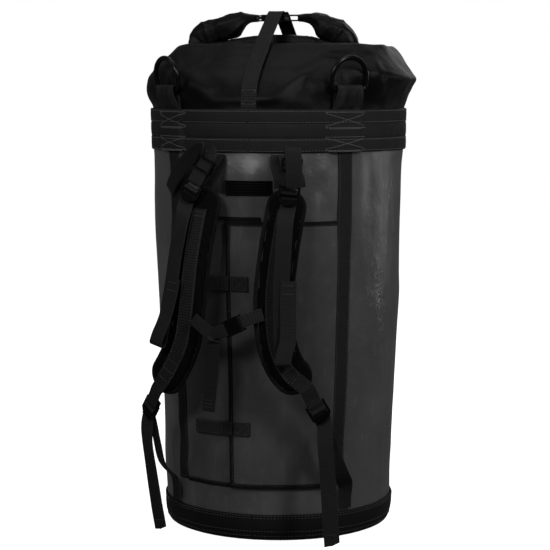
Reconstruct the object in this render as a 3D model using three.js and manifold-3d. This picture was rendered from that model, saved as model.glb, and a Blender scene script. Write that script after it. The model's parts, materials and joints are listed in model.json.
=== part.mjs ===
// Roll-top rope storage bag with a lifting-ring band, a two-flap front pocket and carrying straps.
// Millimetres, +Z up. The origin is the centre of the base on the ground; the straps face -Y.
import * as THREE from "three";
import { mergeVertices } from "three/addons/utils/BufferGeometryUtils.js";
import Module from "manifold-3d";

const wasm = await Module();
wasm.setup();

// ---- driving dimensions ----
const wallProfile = [[0, 186], [25, 191], [170, 194], [400, 205], [600, 210], [700, 212]];
const wallThickness = 2;
const gridStep = 7.5;            // degrees between the columns of every wrapped piece
const floorTop = 4;
const hemTop = 45;
const bandBottom = 632;
const bandTop = 700;
const webbing = 25;              // width of the load webbing
const webThick = 1.8;
const chestWebbing = 20;
const chestScale = 0.8;          // chest buckle against the 25 mm buckle
const ringAngles = { front_right: 43, front_left: -41, rear_right: 135, rear_left: -135 };
const ringHeight = 732;
const ringOffset = 9;            // from the wall to the middle of the ring's straight bar
const ringLean = 8;              // degrees outward
const ringWire = 4;              // radius of the wire
const ringHalfWidth = 31.5;
const ringLeg = 18.5;
const pocket = { bottom: 88, leftTop: 530, rightTop: 523, binding: 8, leftSide: -37.2, rightSide: 39.2 };
const pocketEdge = { left: 3, right: -8.3 };   // where each flap's free edge lies, in degrees
const tabHeights = { upper: 423, lower: 186 };
const tabHinge = -8.4;
const tabTip = -28.8;
const badge = { height: 576, tall: 24, halfAngle: 10.3 };
const rollBuckleHeight = 850;
const padWidth = 58;
const padThick = 12;

// ---- small helpers ----
const vec = (p) => new THREE.Vector3(p[0], p[1], p[2]);
const radians = THREE.MathUtils.degToRad;
const colours = {
  tarpaulin: [0x3c3c3c, 0.38], collar: [0x141414, 0.5], webbing: [0x1c1c1c, 0.8],
  binding: [0x1a1a1a, 0.7], pad: [0x0a0a0a, 0.9], plastic: [0x0b0b0b, 0.4],
  ring: [0x101010, 0.35], rubber: [0x080808, 0.6], hem: [0x151515, 0.55],
};
const group = new THREE.Group();

function add(name, geometry, finish) {
  const [color, roughness] = colours[finish];
  const mesh = new THREE.Mesh(geometry, new THREE.MeshStandardMaterial({ color, roughness, metalness: 0 }));
  mesh.name = name;
  group.add(mesh);
}

// Radius of the wall at a height, straight between the profile's points.
function radiusAt(z) {
  const last = wallProfile.length - 1;
  let i = 0;
  while (i < last - 1 && z > wallProfile[i + 1][0]) i += 1;
  const [z0, r0] = wallProfile[i];
  const [z1, r1] = wallProfile[i + 1];
  return r0 + (r1 - r0) * (Math.min(Math.max(z, z0), wallProfile[last][0]) - z0) / (z1 - z0);
}

// Angles run from -Y towards +X, in degrees.
const outwardAt = (phi) => new THREE.Vector3(Math.sin(radians(phi)), -Math.cos(radians(phi)), 0);
const acrossAt = (phi) => new THREE.Vector3(Math.cos(radians(phi)), Math.sin(radians(phi)), 0);
const angleOf = (p) => THREE.MathUtils.radToDeg(Math.atan2(p.x, -p.y));
const onBag = (phi, z, off = 0) => outwardAt(phi).multiplyScalar(radiusAt(z) + off).setZ(z);

// Makes a closed solid from points and triangles, turned so that its faces point out.
function solid(points, faces) {
  let volume = 0;
  for (const [a, b, c] of faces) volume += points[a].dot(points[b].clone().cross(points[c]));
  const index = faces.flatMap(([a, b, c]) => (volume < 0 ? [a, c, b] : [a, b, c]));
  const geometry = new THREE.BufferGeometry();
  geometry.setAttribute("position", new THREE.Float32BufferAttribute(points.flatMap((p) => p.toArray()), 3));
  geometry.setIndex(index);
  geometry.computeVertexNormals();
  return geometry;
}

// Skins a row of sections. A section is an even loop whose point i faces its point n - 1 - i.
function loft(sections, closed = false) {
  const size = sections[0].length;
  const faces = [];
  const quad = (a, b, c, d) => faces.push([a, b, c], [a, c, d]);
  const spans = closed ? sections.length : sections.length - 1;
  for (let s = 0; s < spans; s += 1) {
    const here = s * size;
    const next = ((s + 1) % sections.length) * size;
    for (let p = 0; p < size; p += 1) {
      const q = (p + 1) % size;
      quad(here + p, next + p, next + q, here + q);
    }
  }
  const end = (sections.length - 1) * size;
  for (let p = 0; !closed && p < size / 2 - 1; p += 1) {
    quad(p, p + 1, size - 2 - p, size - 1 - p);
    quad(end + size - 1 - p, end + size - 2 - p, end + p + 1, end + p);
  }
  return solid(sections.flat(), faces);
}

function toManifold(geometry) {
  const bare = geometry.clone();
  bare.deleteAttribute("normal");
  bare.deleteAttribute("uv");
  const merged = mergeVertices(bare, 1e-4);
  return new wasm.Manifold(new wasm.Mesh({
    numProp: 3,
    vertProperties: new Float32Array(merged.attributes.position.array),
    triVerts: new Uint32Array(merged.index.array),
  }));
}

function fromManifold(body) {
  const mesh = body.getMesh();
  const geometry = new THREE.BufferGeometry();
  geometry.setAttribute("position", new THREE.Float32BufferAttribute(mesh.vertProperties, 3));
  geometry.setIndex(Array.from(mesh.triVerts));
  geometry.computeVertexNormals();
  return geometry;
}

// Joins the first list of geometries and cuts the second list out of them.
function combine(joined, cut = []) {
  let body = toManifold(joined[0]);
  for (const geometry of joined.slice(1)) body = body.add(toManifold(geometry));
  for (const geometry of cut) body = body.subtract(toManifold(geometry));
  return fromManifold(body);
}

// Box between two corners.
function block(low, high) {
  const size = high.map((value, i) => value - low[i]);
  const geometry = new THREE.BoxGeometry(...size);
  return geometry.translate(...low.map((value, i) => value + size[i] / 2));
}

// A basis whose Y runs along a direction and whose Z faces outward.
function frameAt(origin, along, outward) {
  const y = vec(along).normalize();
  const z = vec(outward);
  z.addScaledVector(y, -z.dot(y)).normalize();
  const x = y.clone().cross(z);
  return new THREE.Matrix4().makeBasis(x, y, z).setPosition(...origin);
}

const placed = (frame, x, y, z) => new THREE.Vector3(x, y, z).applyMatrix4(frame);
const axisOf = (frame, column) => new THREE.Vector3().setFromMatrixColumn(frame, column);

// Curve through hand-set points, with a number of steps from each point to the next.
function smooth(points, steps = 3) {
  const list = points.map((p) => (p.isVector3 ? p : vec(p)));
  return new THREE.CatmullRomCurve3(list, false, "centripetal").getPoints((list.length - 1) * steps);
}

// Points of an arc in a plane, from one angle to another in degrees.
function arc(cx, cy, radius, from, to, count) {
  return Array.from({ length: count + 1 }, (unused, i) => {
    const turn = radians(from + (to - from) * i / count);
    return [cx + radius * Math.cos(turn), cy + radius * Math.sin(turn)];
  });
}

// Unit direction of a line of points at one of them, and how far a mitre there widens the section.
function bisector(line, i) {
  const before = line[Math.max(i, 1)].clone().sub(line[Math.max(i, 1) - 1]).normalize();
  const next = Math.min(i + 1, line.length - 1);
  const after = line[next].clone().sub(line[next - 1]).normalize();
  const along = before.clone().add(after).normalize();
  return [along, 1 / Math.max(along.dot(after), 0.5)];
}

// Flat strap along a line of points. side is a vector, or a function of a point and its place in the line.
function strap(line, { width = webbing, thick = webThick, side }) {
  return loft(line.map((p, i) => {
    const [along, widen] = bisector(line, i);
    const share = i / (line.length - 1);
    const across = (side.isVector3 ? side.clone() : side(p, i));
    across.addScaledVector(along, -across.dot(along)).normalize();
    const up = across.clone().cross(along).multiplyScalar(thick / 2 * widen);
    across.multiplyScalar((Array.isArray(width) ? width[0] + (width[1] - width[0]) * share : width) / 2);
    return [
      p.clone().sub(across).add(up), p.clone().add(across).add(up),
      p.clone().add(across).sub(up), p.clone().sub(across).sub(up),
    ];
  }));
}

// Side vector of a strap that lies or hangs in front of the bag, turned part of the way round with it.
const aroundBag = (share = 0.7) => (p) => acrossAt(angleOf(p) * share);

// Side that turns from one direction to another between two places in a line. from may be a function too.
const turning = (from, to, start, end) => (p, i) => {
  const share = Math.min(Math.max((i - start) / (end - start), 0), 1);
  return (from.isVector3 ? from.clone() : from(p)).lerp(to, share);
};

// Plate that follows the wall between two angles, two heights and two distances from the wall.
function wallPiece({ from = 0, to = 360, bottom, top, inner, outer }) {
  const levels = [bottom, ...wallProfile.map((point) => point[0]).filter((z) => z > bottom && z < top), top];
  const angles = [from];
  for (let a = Math.ceil((from + 0.01) / gridStep) * gridStep; a < to - 0.01; a += gridStep) angles.push(a);
  const full = to - from === 360;
  if (!full) angles.push(to);
  return loft(angles.map((phi) => [
    ...levels.map((z) => onBag(phi, z, outer)),
    ...levels.slice().reverse().map((z) => onBag(phi, z, inner)),
  ]), full);
}

// Eight-sided section with its corners cut, round a point in the plane of two directions.
function cutCorners(centre, across, up, halfWidth, halfHeight, corner) {
  const at = (a, b) => centre.clone().addScaledVector(across, a).addScaledVector(up, b);
  const [w, h] = [halfWidth, halfHeight];
  return [
    at(-w, h - corner), at(-w + corner, h), at(w - corner, h), at(w, h - corner),
    at(w, -h + corner), at(w - corner, -h), at(-w + corner, -h), at(-w, -h + corner),
  ];
}

// ---- shell of the bag ----
function addShell() {
  const wall = { bottom: floorTop + 0.4, top: bandTop, inner: -wallThickness, outer: 0 };
  add("body_wall", wallPiece(wall), "tarpaulin");
  const section = [[0, 0], [182, 0], [185, 2], [185, floorTop], [0, floorTop]];
  const disc = section.map((p) => new THREE.Vector2(...p));
  add("base_floor", new THREE.LatheGeometry(disc, 360 / gridStep).rotateX(Math.PI / 2), "hem");
  add("base_hem", wallPiece({ bottom: 2, top: hemTop, inner: 0.4, outer: 3.4 }), "hem");
  add("top_band", bandGeometry(), "webbing");
}

// Band round the mouth, raised in four places over the lower ends of the ring tabs.
function bandGeometry() {
  const upright = (phi, heights, off, width, thick) => strap(
    heights.map((z) => onBag(phi, z, off)), { width, thick, side: acrossAt(phi) });
  const angles = Object.values(ringAngles);
  const hoop = wallPiece({ bottom: bandBottom, top: bandTop, inner: 0.4, outer: 3.6 });
  const humps = angles.map((phi) => upright(phi, [bandBottom, bandTop], 3.6, 58, 7.2));
  const pockets = angles.map((phi) => upright(phi, [640, bandTop + 1], 2.6, 51.4, 4.5));
  const inside = wallPiece({ bottom: bandBottom - 10, top: bandTop + 10, inner: -40, outer: 0.4 });
  return combine([hoop, ...humps], [...pockets, inside]);
}

// Outer surface of the collar, level by level: height at the front and at the sides, then half sizes.
const collarLevels = [
  { front: 700.3, sides: 700.3, right: 211, left: 211, depth: 211 },
  { front: 737, sides: 735, right: 224, left: 215, depth: 200 },
  { front: 766, sides: 756, right: 226, left: 206, depth: 165 },
  { front: 798, sides: 788, right: 196, left: 166, depth: 112 },
  { front: 806, sides: 796, right: 182, left: 154, depth: 98 },
  { front: 800, sides: 792, right: 166, left: 146, depth: 60 },
  { front: 784, sides: 780, right: 152, left: 136, depth: 28 },
  { front: 779, sides: 772, right: 140, left: 130, depth: 5.5 },
];
const collarThick = 2.4;

// Inward direction of the collar's cloth at a level, in the plane of its depth and height.
function collarInward(i) {
  const low = collarLevels[Math.max(i - 1, 0)];
  const high = collarLevels[Math.min(i + 1, collarLevels.length - 1)];
  return new THREE.Vector2(low.front - high.front, high.depth - low.depth).normalize();
}

function addCollar() {
  const sections = [];
  for (let phi = 0; phi < 360; phi += gridStep) {
    const [sine, cosine] = [Math.sin(radians(phi)), Math.cos(radians(phi))];
    const point = (level, i, inset) => {
      const inward = collarInward(i).multiplyScalar(inset);
      const half = (sine > 0 ? level.right : level.left) + inward.x;
      const z = level.sides + (level.front - level.sides) * cosine * cosine + inward.y * (i > 0 ? 1 : 0);
      return new THREE.Vector3(half * sine, -(level.depth + inward.x) * cosine, z);
    };
    const outer = collarLevels.map((level, i) => point(level, i, 0));
    const inner = collarLevels.map((level, i) => point(level, i, collarThick));
    sections.push([...outer, ...inner.reverse()]);
  }
  add("collar", combine([loft(sections, true), throat()]), "collar");
}

// The two cloth walls that close the mouth and rise to just under the roll.
function throat() {
  const edge = [
    [-124, 774], [-114, 788], [-96, 788.6], [-50, 795.6], [0, 798.6], [50, 795.6], [84, 789], [100, 788.6],
    [122, 788.6], [133, 774],
  ];
  const shape = new THREE.Shape(edge.map((p) => new THREE.Vector2(...p)));
  const depth = 12;
  const walls = new THREE.ExtrudeGeometry(shape, { depth, bevelEnabled: false });
  return walls.rotateX(Math.PI / 2).translate(0, depth / 2, 0);
}

// Centreline of the rolled mouth, in the plane across the bag, from its left end to its right end.
function rollLine() {
  const flat = [
    [-34, 850], [-52, 850], [-82, 845], [-110, 837],
    ...arc(-125, 815, 15, 110, 270, 5),
    [-96, 801], [-50, 808], [0, 811], [50, 808], [82, 802],
    ...arc(104, 815, 14, -90, 75, 5),
    [88, 841], [66, 850], [50, 850], [34, 850],
  ];
  return smooth(flat.map(([x, z]) => [x, 0, z]), 1);
}

function rollTube(line, halfWidth, halfHeight, corner) {
  const across = new THREE.Vector3(0, 1, 0);
  return loft(line.map((p, i) => {
    const up = bisector(line, i)[0].cross(across);
    return cutCorners(p, across, up, halfWidth, halfHeight, corner);
  }));
}

function addRoll() {
  const line = rollLine();
  const bore = [line[0].clone().setX(-33), ...line.slice(1, -1), line.at(-1).clone().setX(33)];
  add("roll_closure", combine([rollTube(line, 21, 11, 6)], [rollTube(bore, 14, 5.4, 1)]), "collar");
  const middle = line.filter((p) => p.z < 812 && p.x > -100 && p.x < 84);
  const strip = strap(middle, { width: 22, thick: 1.6, side: new THREE.Vector3(0, 1, 0) });
  add("mouth_stiffener", strip, "plastic");
}

// Webbing folded round a bar that runs along X at the origin. front and back are the lengths of its two legs,
// which run towards +Y.
function loopLine(frame, radius, front, back) {
  const bend = arc(0, 0, radius, 90, 270, 6);
  return [[front, radius], ...bend, [back, -radius]].map(([y, z]) => placed(frame, 0, y, z));
}

// Strap from under the band, over the folded mouth and its buckle, to the far side.
function addTopStrap() {
  const half = [
    [-213.6, 702], [-211.5, 718], [-205, 737], [-190, 753], [-171, 768],
    [-120, 800.5], [-107, 811], [-60, 838], [-18, 860],
  ];
  const mirrored = half.map(([y, z]) => [-y, z]).reverse();
  const line = [...half, [0, 859], ...mirrored].map(([y, z]) => [0, y, z]);
  add("top_strap", strap(smooth(line, 2), { side: new THREE.Vector3(1, 0, 0) }), "webbing");
}

// ---- side-release buckle, lying along Y with its width along X ----
const buckle = {
  halfWidth: 16.5, halfHeight: 5.5, back: -26, mouth: 2,
  bar: 4, barHalfHeight: 2, slotHalf: 13.2, slot: 5,
};

function femaleBuckle() {
  const b = buckle;
  const shell = block([-b.halfWidth, b.back, -b.halfHeight], [b.halfWidth, b.mouth, b.halfHeight]);
  const rear = block(
    [-b.halfWidth, b.back - b.bar, -b.barHalfHeight], [b.halfWidth, b.back + 1, b.barHalfHeight]);
  const cavity = block([-13.5, -18, -3.2], [13.5, b.mouth + 1, 3.2]);
  const windows = block([-b.halfWidth - 1, -14, -3.2], [b.halfWidth + 1, -5, 3.2]);
  const slot = block([-b.slotHalf, b.back, -8], [b.slotHalf, b.back + b.slot, 8]);
  return combine([shell, rear], [cavity, windows, slot]);
}

function maleBuckle() {
  const b = buckle;
  const base = block([-b.slotHalf - 2.6, b.mouth + 0.4, -3.8], [b.slotHalf + 2.6, 14, 3.8]);
  const thinner = [
    block([-20, 10.9, b.barHalfHeight], [20, 15, 8]),
    block([-20, 10.9, -8], [20, 15, -b.barHalfHeight]),
  ];
  const slot = block([-b.slotHalf, 6.4, -8], [b.slotHalf, 11, 8]);
  const guide = block([-1.8, -12, -1.8], [1.8, b.mouth + 1, 1.8]);
  const outline = new THREE.Shape([
    [7.6, 3], [11.4, 3], [11, -2], [13, -6], [12.6, -9], [10.6, -13], [8.8, -13], [8.6, -6],
  ].map((p) => new THREE.Vector2(...p)));
  const prong = new THREE.ExtrudeGeometry(outline, { depth: 4.4, bevelEnabled: false }).translate(0, 0, -2.2);
  const other = prong.clone().rotateY(Math.PI);
  return combine([base, guide, prong, other], [...thinner, slot]);
}

function addRollBuckle() {
  const frame = new THREE.Matrix4().makeBasis(
    new THREE.Vector3(0, -1, 0), new THREE.Vector3(1, 0, 0), new THREE.Vector3(0, 0, 1),
  ).setPosition(0, 0, rollBuckleHeight);
  add("roll_buckle_female", femaleBuckle().applyMatrix4(frame), "plastic");
  add("roll_buckle_male", maleBuckle().applyMatrix4(frame), "plastic");
  const along = new THREE.Vector3(1, 0, 0);
  const side = new THREE.Vector3(0, 1, 0);
  const leftBar = frameAt([-28, 0, rollBuckleHeight], along.clone().negate().toArray(), [0, 0, 1]);
  const rightBar = frameAt([12.5, 0, rollBuckleHeight], along.toArray(), [0, 0, 1]);
  add("roll_tab_left", strap(loopLine(leftBar, 4.1, 22, 22), { side }), "webbing");
  add("roll_tab_right", strap(loopLine(rightBar, 4.1, 36, 36), { side }), "webbing");
}

// ---- lifting rings and their tabs ----
function ringFrame(phi) {
  const tilt = radians(ringLean);
  const out = outwardAt(phi);
  const up = out.clone().multiplyScalar(Math.sin(tilt)).setZ(Math.cos(tilt));
  const origin = out.clone().multiplyScalar(radiusAt(bandTop) + ringOffset).setZ(ringHeight);
  return frameAt(origin.toArray(), up.toArray(), out.toArray());
}

function ringGeometry(frame) {
  const corner = 6;
  const outline = [
    ...arc(ringHalfWidth - corner, corner, corner, -90, 0, 3),
    ...arc(0, ringLeg, ringHalfWidth, 0, 180, 10),
    ...arc(-ringHalfWidth + corner, corner, corner, 180, 270, 3),
    [0, 0],
  ];
  const line = outline.map(([x, y]) => placed(frame, x, y, 0));
  const normal = axisOf(frame, 2);
  return loft(line.map((p, i) => {
    const next = line[(i + 1) % line.length];
    const before = line[(i + line.length - 1) % line.length];
    const along = next.clone().sub(before).normalize();
    return cutCorners(p, along.cross(normal), normal, ringWire, ringWire, 2.3);
  }), true);
}

// Wide webbing folded over the ring's straight bar, both legs sewn in behind the band.
function ringTab(phi) {
  const [out, across] = [outwardAt(phi), acrossAt(phi)];
  const middle = radiusAt(bandTop) + ringOffset;
  const radius = 5.9;
  const profile = [
    [radiusAt(642) + 1.5, 642], [radiusAt(bandTop) + 1.5, bandTop],
    [middle - radius, ringHeight - 5], [middle - radius, ringHeight],
    ...arc(middle, ringHeight, radius, 180, 0, 6).slice(1),
    [middle + radius, ringHeight - 10], [radiusAt(bandTop) + 3.6, bandTop + 0.6],
    [radiusAt(642) + 3.5, 642],
  ];
  const line = profile.map(([r, z]) => out.clone().multiplyScalar(r).setZ(z));
  return strap(line, { width: 50, thick: webThick, side: across });
}

function addRings() {
  for (const [name, phi] of Object.entries(ringAngles)) {
    add(`d_ring_tab_${name}`, ringTab(phi), "webbing");
    add(`d_ring_${name}`, ringGeometry(ringFrame(phi)), "ring");
    add(`side_web_${name}`, wallPiece({
      from: phi - 3.5, to: phi + 3.5, bottom: 90, top: bandBottom - 0.4, inner: 0.4, outer: 2,
    }), "webbing");
  }
}

// ---- pocket on the harness side ----
function addPocket() {
  const { bottom, binding, leftSide, rightSide } = pocket;
  const edge = binding - 0.4;
  const bandDegrees = 2;
  const layers = { left: [0.4, 1.8, 2.4], right: [3.2, 4.6, 5.2] };
  const left = { inner: layers.left[0], outer: layers.left[1], from: leftSide, to: pocketEdge.left };
  const foot = bottom + binding;
  add("pocket_flap_left", wallPiece({ ...left, bottom: foot, top: pocket.leftTop - binding }), "tarpaulin");
  const right = { inner: layers.right[0], outer: layers.right[1], from: pocketEdge.right, to: rightSide };
  add("pocket_flap_right", wallPiece({ ...right, bottom: foot, top: pocket.rightTop - binding }), "tarpaulin");

  const edging = (from, to, top, upright, [inner, , outer]) => combine([
    wallPiece({ from, to, bottom: top - edge, top, inner, outer }),
    wallPiece({ from, to, bottom, top: bottom + edge, inner, outer }),
    wallPiece({ from: upright, to: upright + bandDegrees, bottom: bottom + 1, top: top - 1, inner, outer }),
  ]);
  const leftUpright = pocketEdge.left + 0.15;
  const leftEnd = leftUpright + bandDegrees;
  const leftRim = edging(leftSide, leftEnd, pocket.leftTop, leftUpright, layers.left);
  add("pocket_binding_left", leftRim, "binding");
  const rightUpright = pocketEdge.right - 0.15 - bandDegrees;
  const rightRim = edging(rightUpright, rightSide, pocket.rightTop, rightUpright, layers.right);
  add("pocket_binding_right", rightRim, "binding");
}

// Hook-and-loop tabs: a sewn base on the right flap and a free part that lifts.
function addPocketTabs() {
  for (const [name, height] of Object.entries(tabHeights)) {
    const half = name === "upper" ? 12 : 11;
    const size = { bottom: height - half, top: height + half, inner: 6, outer: 7.6 };
    add(`tab_base_${name}`, wallPiece({ ...size, from: tabHinge + 0.25, to: -0.2 }), "webbing");
    add(`hook_tab_${name}`, wallPiece({ ...size, from: tabTip, to: tabHinge }), "webbing");
  }
}

function addBadge() {
  const { height, tall, halfAngle } = badge;
  const plate = wallPiece({
    from: -halfAngle, to: halfAngle, inner: 0.4, outer: 2.8,
    bottom: height - tall / 2, top: height + tall / 2,
  });
  add("badge", plate, "rubber");
}

// Tape arch on the inner wall that the end of the rope is tied to.
function addTieLoop() {
  const inner = (z, off) => [0, radiusAt(z) - wallThickness - off, z];
  const arch = [[38, 2.4], [46, 4], [52, 17], [60, 20], [68, 17], [74, 4], [82, 2.4]];
  const line = smooth(arch.map(([z, off]) => inner(z, off)), 2);
  add("tie_loop", strap(line, { side: new THREE.Vector3(1, 0, 0) }), "webbing");
}

// ---- ladder-lock, its top bar along X at the origin, its tongue towards -Y, its face towards +Z ----
const lock = { halfWidth: 16.8, slotHalf: 13.2, half: 2 };

function ladderLock() {
  const { halfWidth, slotHalf, half } = lock;
  const outline = [[-halfWidth, 2], [-halfWidth, -22], [-11, -28], [-6, -31]];
  const mirrored = outline.map(([x, y]) => [-x, y]).reverse();
  const shape = new THREE.Shape([...outline, ...mirrored].map((p) => new THREE.Vector2(...p)));
  for (const [low, high] of [[-9, -2], [-20, -13]]) {
    const corners = [[-slotHalf, low], [-slotHalf, high], [slotHalf, high], [slotHalf, low]];
    shape.holes.push(new THREE.Path(corners.map((p) => new THREE.Vector2(...p))));
  }
  const plate = new THREE.ExtrudeGeometry(shape, { depth: 2 * half, bevelEnabled: false }).translate(0, 0, -half);
  const ridge = new THREE.CylinderGeometry(2.1, 2.1, 2 * slotHalf + 2, 10);
  ridge.rotateZ(Math.PI / 2).translate(0, -11, 1.2);
  const lip = block([-9, -29.5, half - 1], [9, -26, half + 1.6]);
  return combine([plate, ridge, lip]);
}

// Webbing through a ladder-lock: the load strand behind, over the middle bar, the tail behind the tongue.
function threadedLine(frame, tail) {
  const inLock = [
    [-27, -5.7], [-12, -5.7], [-8.8, -4.7], [-7.5, -2.4], [-7.5, 1.5], [-8.3, 3.8], [-10, 4.7],
    [-12, 4.7], [-13.9, 3.8], [-14.7, 1.5], [-14.7, -1.8], [-15.8, -3.1], [-18, -3.5], [-31, -3.5],
  ].map(([y, z]) => placed(frame, 0, y, z));
  return [...inLock, ...smooth([inLock.at(-1), ...tail], 2).slice(1)];
}

const locks = {
  upper_left: {
    frame: frameAt([-79, -243, 584], [0.476, 0.14, 0.868], [-0.31, -0.95, 0]),
    tail: [[-95, -258, 535], [-105, -263, 480], [-114, -265, 420], [-133, -259, 332]],
    endSide: [0.9, -0.42, 0],
  },
  upper_right: {
    frame: frameAt([74, -245, 581], [0.05, 0.2, 0.98], [0.2, -0.98, 0]),
    tail: [[72, -266, 530], [70, -276, 470], [67, -276, 400], [69, -271, 308]],
    endSide: [0.97, 0.22, 0],
  },
  lower_left: {
    frame: frameAt([-158.6, -217.4, 227.6], [0.475, -0.327, 0.817], [-0.55, -0.83, 0]),
    tail: [[-172, -209, 170], [-165, -207, 110], [-157, -204, 50], [-152, -200, 14]],
    endSide: [0.9, -0.42, 0],
  },
  lower_right: {
    frame: frameAt([112, -233, 237], [-0.455, -0.22, 0.862], [0.435, -0.9, 0]),
    tail: [[129, -233, 175], [135, -238, 110], [139, -242, 60], [143, -245, 14]],
    endSide: [0.95, 0.3, 0],
  },
};

function addLocks() {
  for (const [name, { frame, tail, endSide }] of Object.entries(locks)) {
    add(`ladder_lock_${name}`, ladderLock().applyMatrix4(frame), "plastic");
    const line = threadedLine(frame, tail);
    const side = turning(axisOf(frame, 0), vec(endSide), line.length - 2 * tail.length + 1, line.length - 1);
    add(`strap_tail_${name}`, strap(line, { side }), "webbing");
  }
}

// ---- shoulder pads and their webbing ----
const padLines = {
  left: [
    [-66, -224, 574], [-72, -240, 530], [-81, -251, 465], [-87, -255, 400], [-97, -252, 335],
    [-116, -244, 294], [-143, -229, 254],
  ],
  right: [
    [69, -224, 574], [64, -240, 530], [56, -253, 465], [51, -258, 400], [56, -257, 335],
    [71, -251, 295], [99, -241, 266],
  ],
};

// Directions across a pad and out of its face, at a place in its line.
function padAxes(line, i) {
  const along = bisector(line, i)[0];
  const across = aroundBag()(line[i]);
  across.addScaledVector(along, -across.dot(along)).normalize();
  return [across, along.cross(across)];
}

// Flat cushion with rounded ends along a line.
function padGeometry(line) {
  const lengths = [0];
  for (let i = 1; i < line.length; i += 1) lengths.push(lengths[i - 1] + line[i].distanceTo(line[i - 1]));
  const total = lengths.at(-1);
  return loft(line.map((p, i) => {
    const [across, face] = padAxes(line, i);
    const fromEnd = Math.min(lengths[i], total - lengths[i]) / (padWidth / 2);
    const share = Math.sqrt(1 - Math.max(0, 1 - fromEnd) ** 2);
    const halfWidth = padWidth / 2 * Math.max(share, 0.45);
    return cutCorners(p, across, face, halfWidth, padThick / 2, 3.5);
  }));
}

// Where a pad's webbing lies: in front of the pad's middle line.
const padFace = padThick / 2 + webThick / 2 + 0.8;

function addPads() {
  for (const side of ["left", "right"]) {
    const line = smooth(padLines[side], 4);
    add(`shoulder_pad_${side}`, padGeometry(line), "pad");
    const lower = locks[`lower_${side}`].frame;
    const onPad = line.map((p, i) => p.clone().addScaledVector(padAxes(line, i)[1], padFace)).slice(3);
    const past = onPad.at(-1).clone().sub(onPad.at(-2)).setLength(6).add(onPad.at(-1));
    const round = loopLine(lower, 4.1, 8, 8);
    const route = [...onPad, past, ...round];
    const turned = turning(aroundBag(), axisOf(lower, 0), onPad.length, onPad.length + 1);
    add(`pad_web_${side}`, strap(route, { side: turned }), "webbing");
  }
}

// Webbing from under the band to the top of each pad, and the adjusting strap in front of it.
const upperWebs = {
  left: {
    anchor: [-16, [-65, -221.5, 590], [-66, -222, 578]],
    lifter: [-13.5, 7.6],
    tail: [
      [-56, -238.9, 630.5], [-60, -237, 636], [-68.5, -232, 637.5], [-84.5, -221, 631.5], [-110, -201, 611.5],
      [-136, -171, 583], [-146, -158, 568],
    ],
    endSide: [0.529, -0.44, -0.727],
  },
  right: {
    anchor: [15.5, [68, -221.5, 590], [69, -222, 578]],
    lifter: [16, 7.6],
    tail: [
      [77, -243, 638], [79, -251, 643], [82, -258, 638], [84, -262, 622], [85, -262, 600], [85, -260, 580],
    ],
    endSide: [0.97, 0.22, 0],
  },
};
const glideReach = 33;           // from a lock's top bar to the middle of its tri-glide
const frontStrand = 4.1;         // from the middle of the lock to the strand that the tri-glide grips

function addUpperWebs() {
  for (const [side, { anchor, lifter, tail, endSide }] of Object.entries(upperWebs)) {
    const [phi, middle, end] = anchor;
    const gusset = smooth([onBag(phi, bandBottom - 3, 3.2), onBag(phi, 612, 4.2), middle, end], 2);
    add(`anchor_web_${side}`, strap(gusset, { width: [44, 50], side: aroundBag(1) }), "webbing");

    const { frame } = locks[`upper_${side}`];
    const bar = axisOf(frame, 0);
    const bend = arc(0, 0, frontStrand, 270, 90, 6).map(([y, z]) => placed(frame, 0, -y, z));
    const back = [onBag(lifter[0], bandBottom - 3, lifter[1]), placed(frame, 0, 18, -frontStrand)];
    const front = [placed(frame, 0, 20, frontStrand), placed(frame, 0, 45.5, frontStrand)];
    const loose = smooth([front[1], ...tail], 2).slice(1);
    const line = [...back, ...bend, ...front, ...loose];
    const turned = turning(bar, vec(endSide), line.length - loose.length, line.length - 1);
    add(`lifter_web_${side}`, strap(line, { side: turned }), "webbing");
    const at = frame.clone().multiply(new THREE.Matrix4().makeTranslation(0, glideReach, frontStrand));
    add(`tri_glide_${side}`, triGlide().applyMatrix4(at), "plastic");
  }
}

// Slide adjuster: two bars in front of the strap, one behind it, its length along Y.
function triGlide() {
  const rails = [-1, 1].map((sign) => {
    const [low, high] = sign < 0 ? [-16.5, -13.2] : [13.2, 16.5];
    return block([low, -11, -3.2], [high, 11, 3.2]);
  });
  const front = [[-11, -7.5], [7.5, 11]].map(([low, high]) => block([-14, low, 1.3], [14, high, 3.2]));
  const behind = block([-14, -2, -3.2], [14, 2, -1.3]);
  return combine([...rails, ...front, behind]);
}

// ---- chest strap ----
const chestMouth = [-16, -272, 361];
const chestOut = new THREE.Vector3(-0.904, 0, -0.425);     // the way the clip pulls out

function chestFrame() {
  return frameAt(chestMouth, chestOut.toArray(), [0, -1, 0]);
}

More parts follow.
